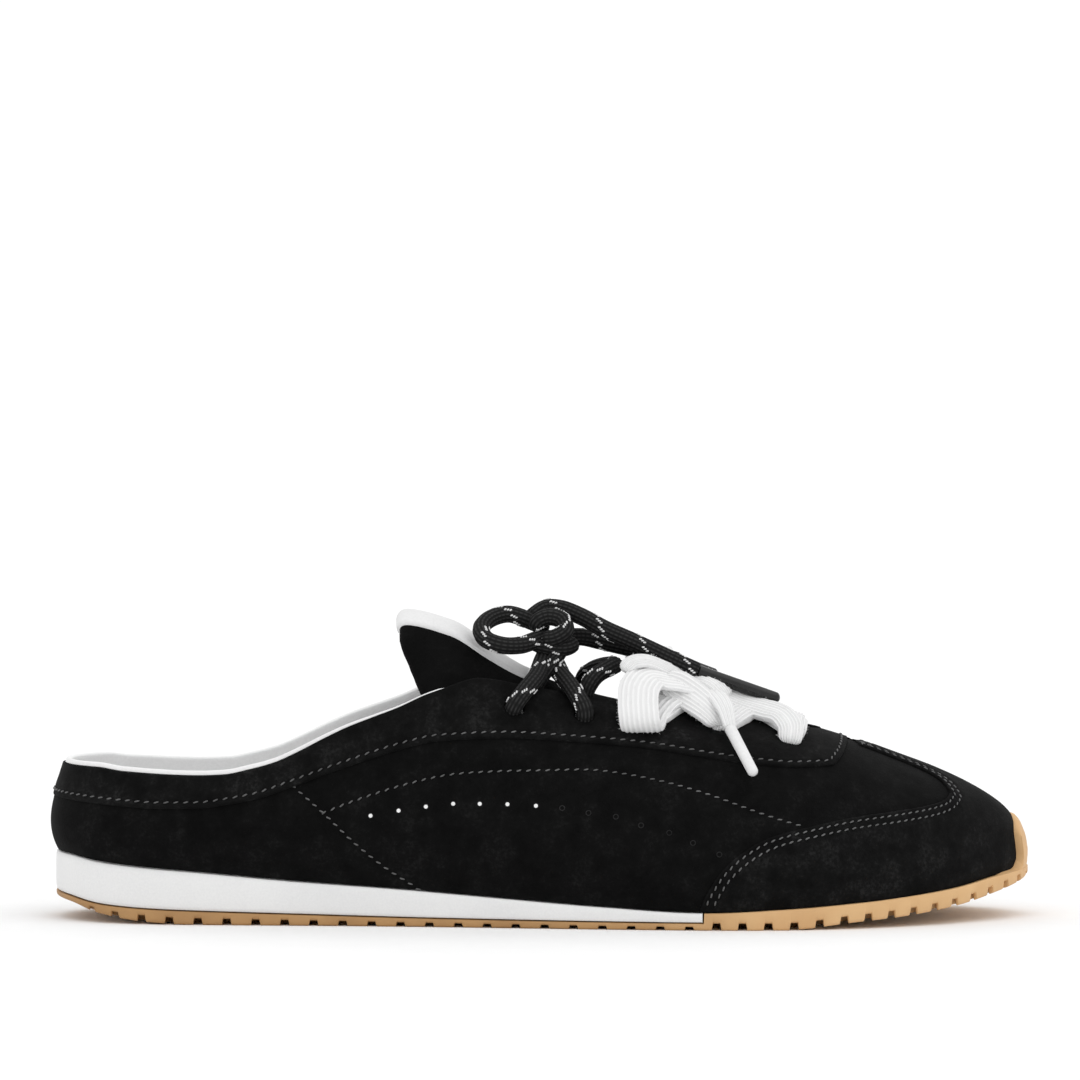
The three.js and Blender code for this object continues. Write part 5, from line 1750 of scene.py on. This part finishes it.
rope("lace_black_bar_c", under_rear, ends=1)
rope("lace_black_bar_d", under_front, ends=1)

# White flat lace: crossings in the lower rows, a knot, a loop and an end on each side
for k, (a, b, wide) in enumerate(((0, 0, 0.62), (0, 1, 0.6), (1, 0, 0.6), (1, 2, 0.6), (2, 1, 0.6))):
    points, ways = crossing_points(a, b, 1.1, 0.5 * (k % 2))
    name = "lace_white_bar_" + "abcde"[k]
    plump = [0.9, 1.8, 2.3, 1.3, 1, 1.1, 1.9, 1.6, 0.9]
    narrow = [0.4, 0.72, 0.8, wide + 0.1, wide, wide, 0.7, 0.6, 0.38]
    rows = np.hstack([points, ways])
    flat_lace(name, rows, wide=narrow, plump=plump, fuzz=70, ends=1)
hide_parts("lace_white_crossings")

near_loop = [
    (43.6, -7.6, 63.4, 0.1, -0.3, 0.95), (40.6, -12, 64.2, 0, -0.4, 0.9),
    (35.5, -15.4, 65.8, 0, -0.45, 0.9), (30, -18.2, 66.8, -0.05, -0.6, 0.8),
    (27.2, -22.6, 64.6, -0.05, -0.88, 0.45), (26.6, -26.2, 61, 0, -0.93, 0.35),
    (26.8, -29, 57.2, 0, -0.98, 0.15), (27.2, -29, 54.8, 0, -0.85, -0.55),
    (27.8, -27, 53.6, 0, -0.1, -1), (28.6, -24.4, 54.8, 0, 0.6, -0.8),
    (29.8, -21.6, 57.8, 0, 0.8, -0.6), (32.8, -18, 60.6, 0, 0.6, -0.8), (37, -13.4, 62, 0, 0.4, -0.9),
    (42, -8.6, 62.2, 0, 0.2, -1), (46, -4, 61.8, 0, 0.1, -1),
]
near_bow, near_fibres, near_path = flat_lace(
    "lace_white_bow_near", near_loop, ["lace_white_loop_near"], fuzz=620,
    plump=[1, 1.1, 1.2, 1.3, 1.3, 1.5, 1.4, 1.2, 1, 1])
declare(near_path)
far_loop = [
    (44.4, 3, 63.2, -0.2, 0.1, 1), (42, 7.6, 65.6, -0.3, 0.4, 0.9), (38, 11.6, 69.2, -0.5, 0.4, 0.7),
    (33, 13.6, 72.4, 0, 0, 1), (29.6, 17.4, 71.2, 0.2, 0.8, 0.5), (28.8, 21.4, 67.2, 0.2, 1, 0.3),
    (29.4, 24.8, 62.6, 0.1, 0.9, 0.4), (30.4, 28.4, 57.4, 0.1, 0.97, 0.1),
    (33, 28.8, 54.4, 0.3, 0.6, -0.7), (36, 25.6, 56.4, 0.3, 0.1, -0.9), (39, 18.6, 60, 0.1, -0.4, -0.9),
    (42, 10.6, 62, 0, -0.2, -1), (44.6, 5.6, 62.6, 0, -0.1, -1),
]
far_bow, far_fibres, far_path = flat_lace(
    "lace_white_bow_far", far_loop, ["lace_white_loop_far"], fuzz=300)
declare(far_path)


def white_end(name, rows, tip_ends, nodes):
    piece, fibres, path = flat_lace(name, rows, [nodes[0]], width=TAIL, thick=2.2, fuzz=90, ends=1.5,
                                    ribs=4, plump=[1.3, 1.2, 1, 1, 0.9], wide=[1, 1, 1, 0.9, 0.55])
    tip = tip_piece(name + "_tip", *tip_ends, WHITE_TIP_WIDTH, WHITE_TIP, "white_tip", [nodes[1]])
    declare(path)


near_end = [
    (44.4, 4, 61.4, 0.2, 0.2, 1), (42.8, 0.4, 64.4, 0.2, -0.1, 1), (43, -4.6, 65.8, 0.2, -0.3, 1),
    (44.4, -8.6, 64.6, 0.2, -0.5, 0.9), (46.5, -11.4, 62.6, 0.2, -0.6, 0.8),
    (48, -16, 61.6, 0.2, -0.6, 0.8), (49.6, -20.6, 59.8, 0.2, -0.7, 0.7),
    (50.8, -25, 56.8, 0.2, -0.8, 0.6), (51.6, -28.2, 53.4, 0.2, -0.8, 0.6),
]
white_end("lace_white_tail_near", near_end, ((51.3, -27.6, 54), (58, -38, 41.6)),
          ["lace_white_end_near", "lace_white_tip_near"])
far_end = [
    (43, -7, 62.4, 0.2, 0, 1), (43.8, -2, 64.8, 0.2, 0.1, 1), (45.4, 3, 64.4, 0.2, 0.4, 0.9),
    (47.2, 6.6, 62.4, 0.2, 0.6, 0.8), (48.8, 10.8, 62, 0.2, 0.6, 0.8),
    (49.4, 16.2, 61.6, 0.2, 0.6, 0.8), (50.4, 21.4, 59.2, 0.2, 0.7, 0.7),
    (51, 25.6, 55.8, 0.2, 0.8, 0.6),
]
white_end("lace_white_tail_far", far_end, ((50.8, 25.2, 56.2), (56.4, 34.8, 44.4)),
          ["lace_white_end_far", "lace_white_tip_far"])

# The white knot: bands that cross over it, the fold over the near loop, and the band on to the front row
white_wraps = [
    ("lace_white_wrap", 9, 2.8, [
        (39.4, 3, 62, -0.8, 0.2, 0.5), (40.2, -2, 65, -0.5, -0.1, 0.9),
        (43.6, -6, 66.2, 0.1, -0.4, 0.9), (48, -9, 64.4, 0.6, -0.5, 0.7),
        (50.4, -9.5, 61, 0.9, -0.5, 0.2), (48.4, -6, 59.6, 0.3, 0.2, -1),
    ]),
    ("lace_white_cross", 9.5, 3.0, [
        (33.5, -15.5, 66, 0, -0.8, 0.6), (37.5, -16, 64, 0.1, -0.9, 0.4),
        (41.5, -17, 61.4, 0.3, -0.9, 0.35), (45, -19, 58.6, 0.4, -0.85, 0.35),
        (47.6, -21, 56, 0.4, -0.85, 0.3), (48.8, -22, 53.8, 0.4, -0.9, 0.1),
    ]),
    ("lace_white_fold", 5.5, 2.2, [
        (22.6, -18, 68.4, -0.3, -0.8, 0.5), (25, -16.4, 70.6, -0.2, -0.6, 0.8),
        (29, -14.4, 71, 0, -0.5, 0.85), (34, -12, 69, 0.1, -0.5, 0.85), (39, -10, 66.4, 0.2, -0.6, 0.8),
        (44, -8, 64, 0.1, -0.5, 0.85),
    ]),
    ("lace_white_bar_f", 8.6, 3.2, [
        (44, -5, 63, 0, -0.4, 0.9), (49, -7, 61.4, 0.1, -0.5, 0.9), (55, -8.4, 59, 0.2, -0.5, 0.85),
        (61, -10.6, 57.4, 0.2, -0.6, 0.8), (65.6, -14, 56, 0.3, -0.7, 0.6),
        (68, -18, 53.2, 0.2, -0.9, 0.4), (68, -20.4, 50.2, 0, -0.98, 0.1),
        (67.6, -20.2, 48.6, 0, -0.9, -0.4),
    ]),
]
for name, width, thick, rows in white_wraps:
    replaced = ["lace_white_knot"] if name == "lace_white_wrap" else []
    flat_lace(name, rows, replaced, width=width, thick=thick, fuzz=240, wide=[0.7, 1, 1, 1, 0.9, 0.7])

# Floor, white surroundings and one soft light from above
floor_mesh = bpy.data.meshes.new("floor")
floor_corners = [(-120, -120, 0), (120, -120, 0), (120, 120, 0), (-120, 120, 0)]
floor_mesh.from_pydata(floor_corners, [], [(0, 1, 2, 3)])
floor = bpy.data.objects.new("floor", floor_mesh)
bpy.context.scene.collection.objects.link(floor)
floor_material = plain("pale floor", grey(0.93), grey(0.95), 0.9, 300, 0.05, 0.05, 0.1)
floor.data.materials.append(floor_material)

world = bpy.data.worlds.new("studio")
world.use_nodes = True
world.node_tree.nodes["Background"].inputs["Color"].default_value = (1, 1, 1, 1)
world.node_tree.nodes["Background"].inputs["Strength"].default_value = 1.0
bpy.context.scene.world = world

sun_data = bpy.data.lights.new("overhead sun", "SUN")
sun_data.energy = 0.5
sun_data.angle = math.radians(60)
sun = bpy.data.objects.new("overhead sun", sun_data)
sun.location = (0.4, -0.5, 2)
sun.rotation_euler = (-Vector(sun.location)).to_track_quat("-Z", "Y").to_euler()
bpy.context.scene.collection.objects.link(sun)
bpy.context.scene.view_settings.view_transform = "Standard"
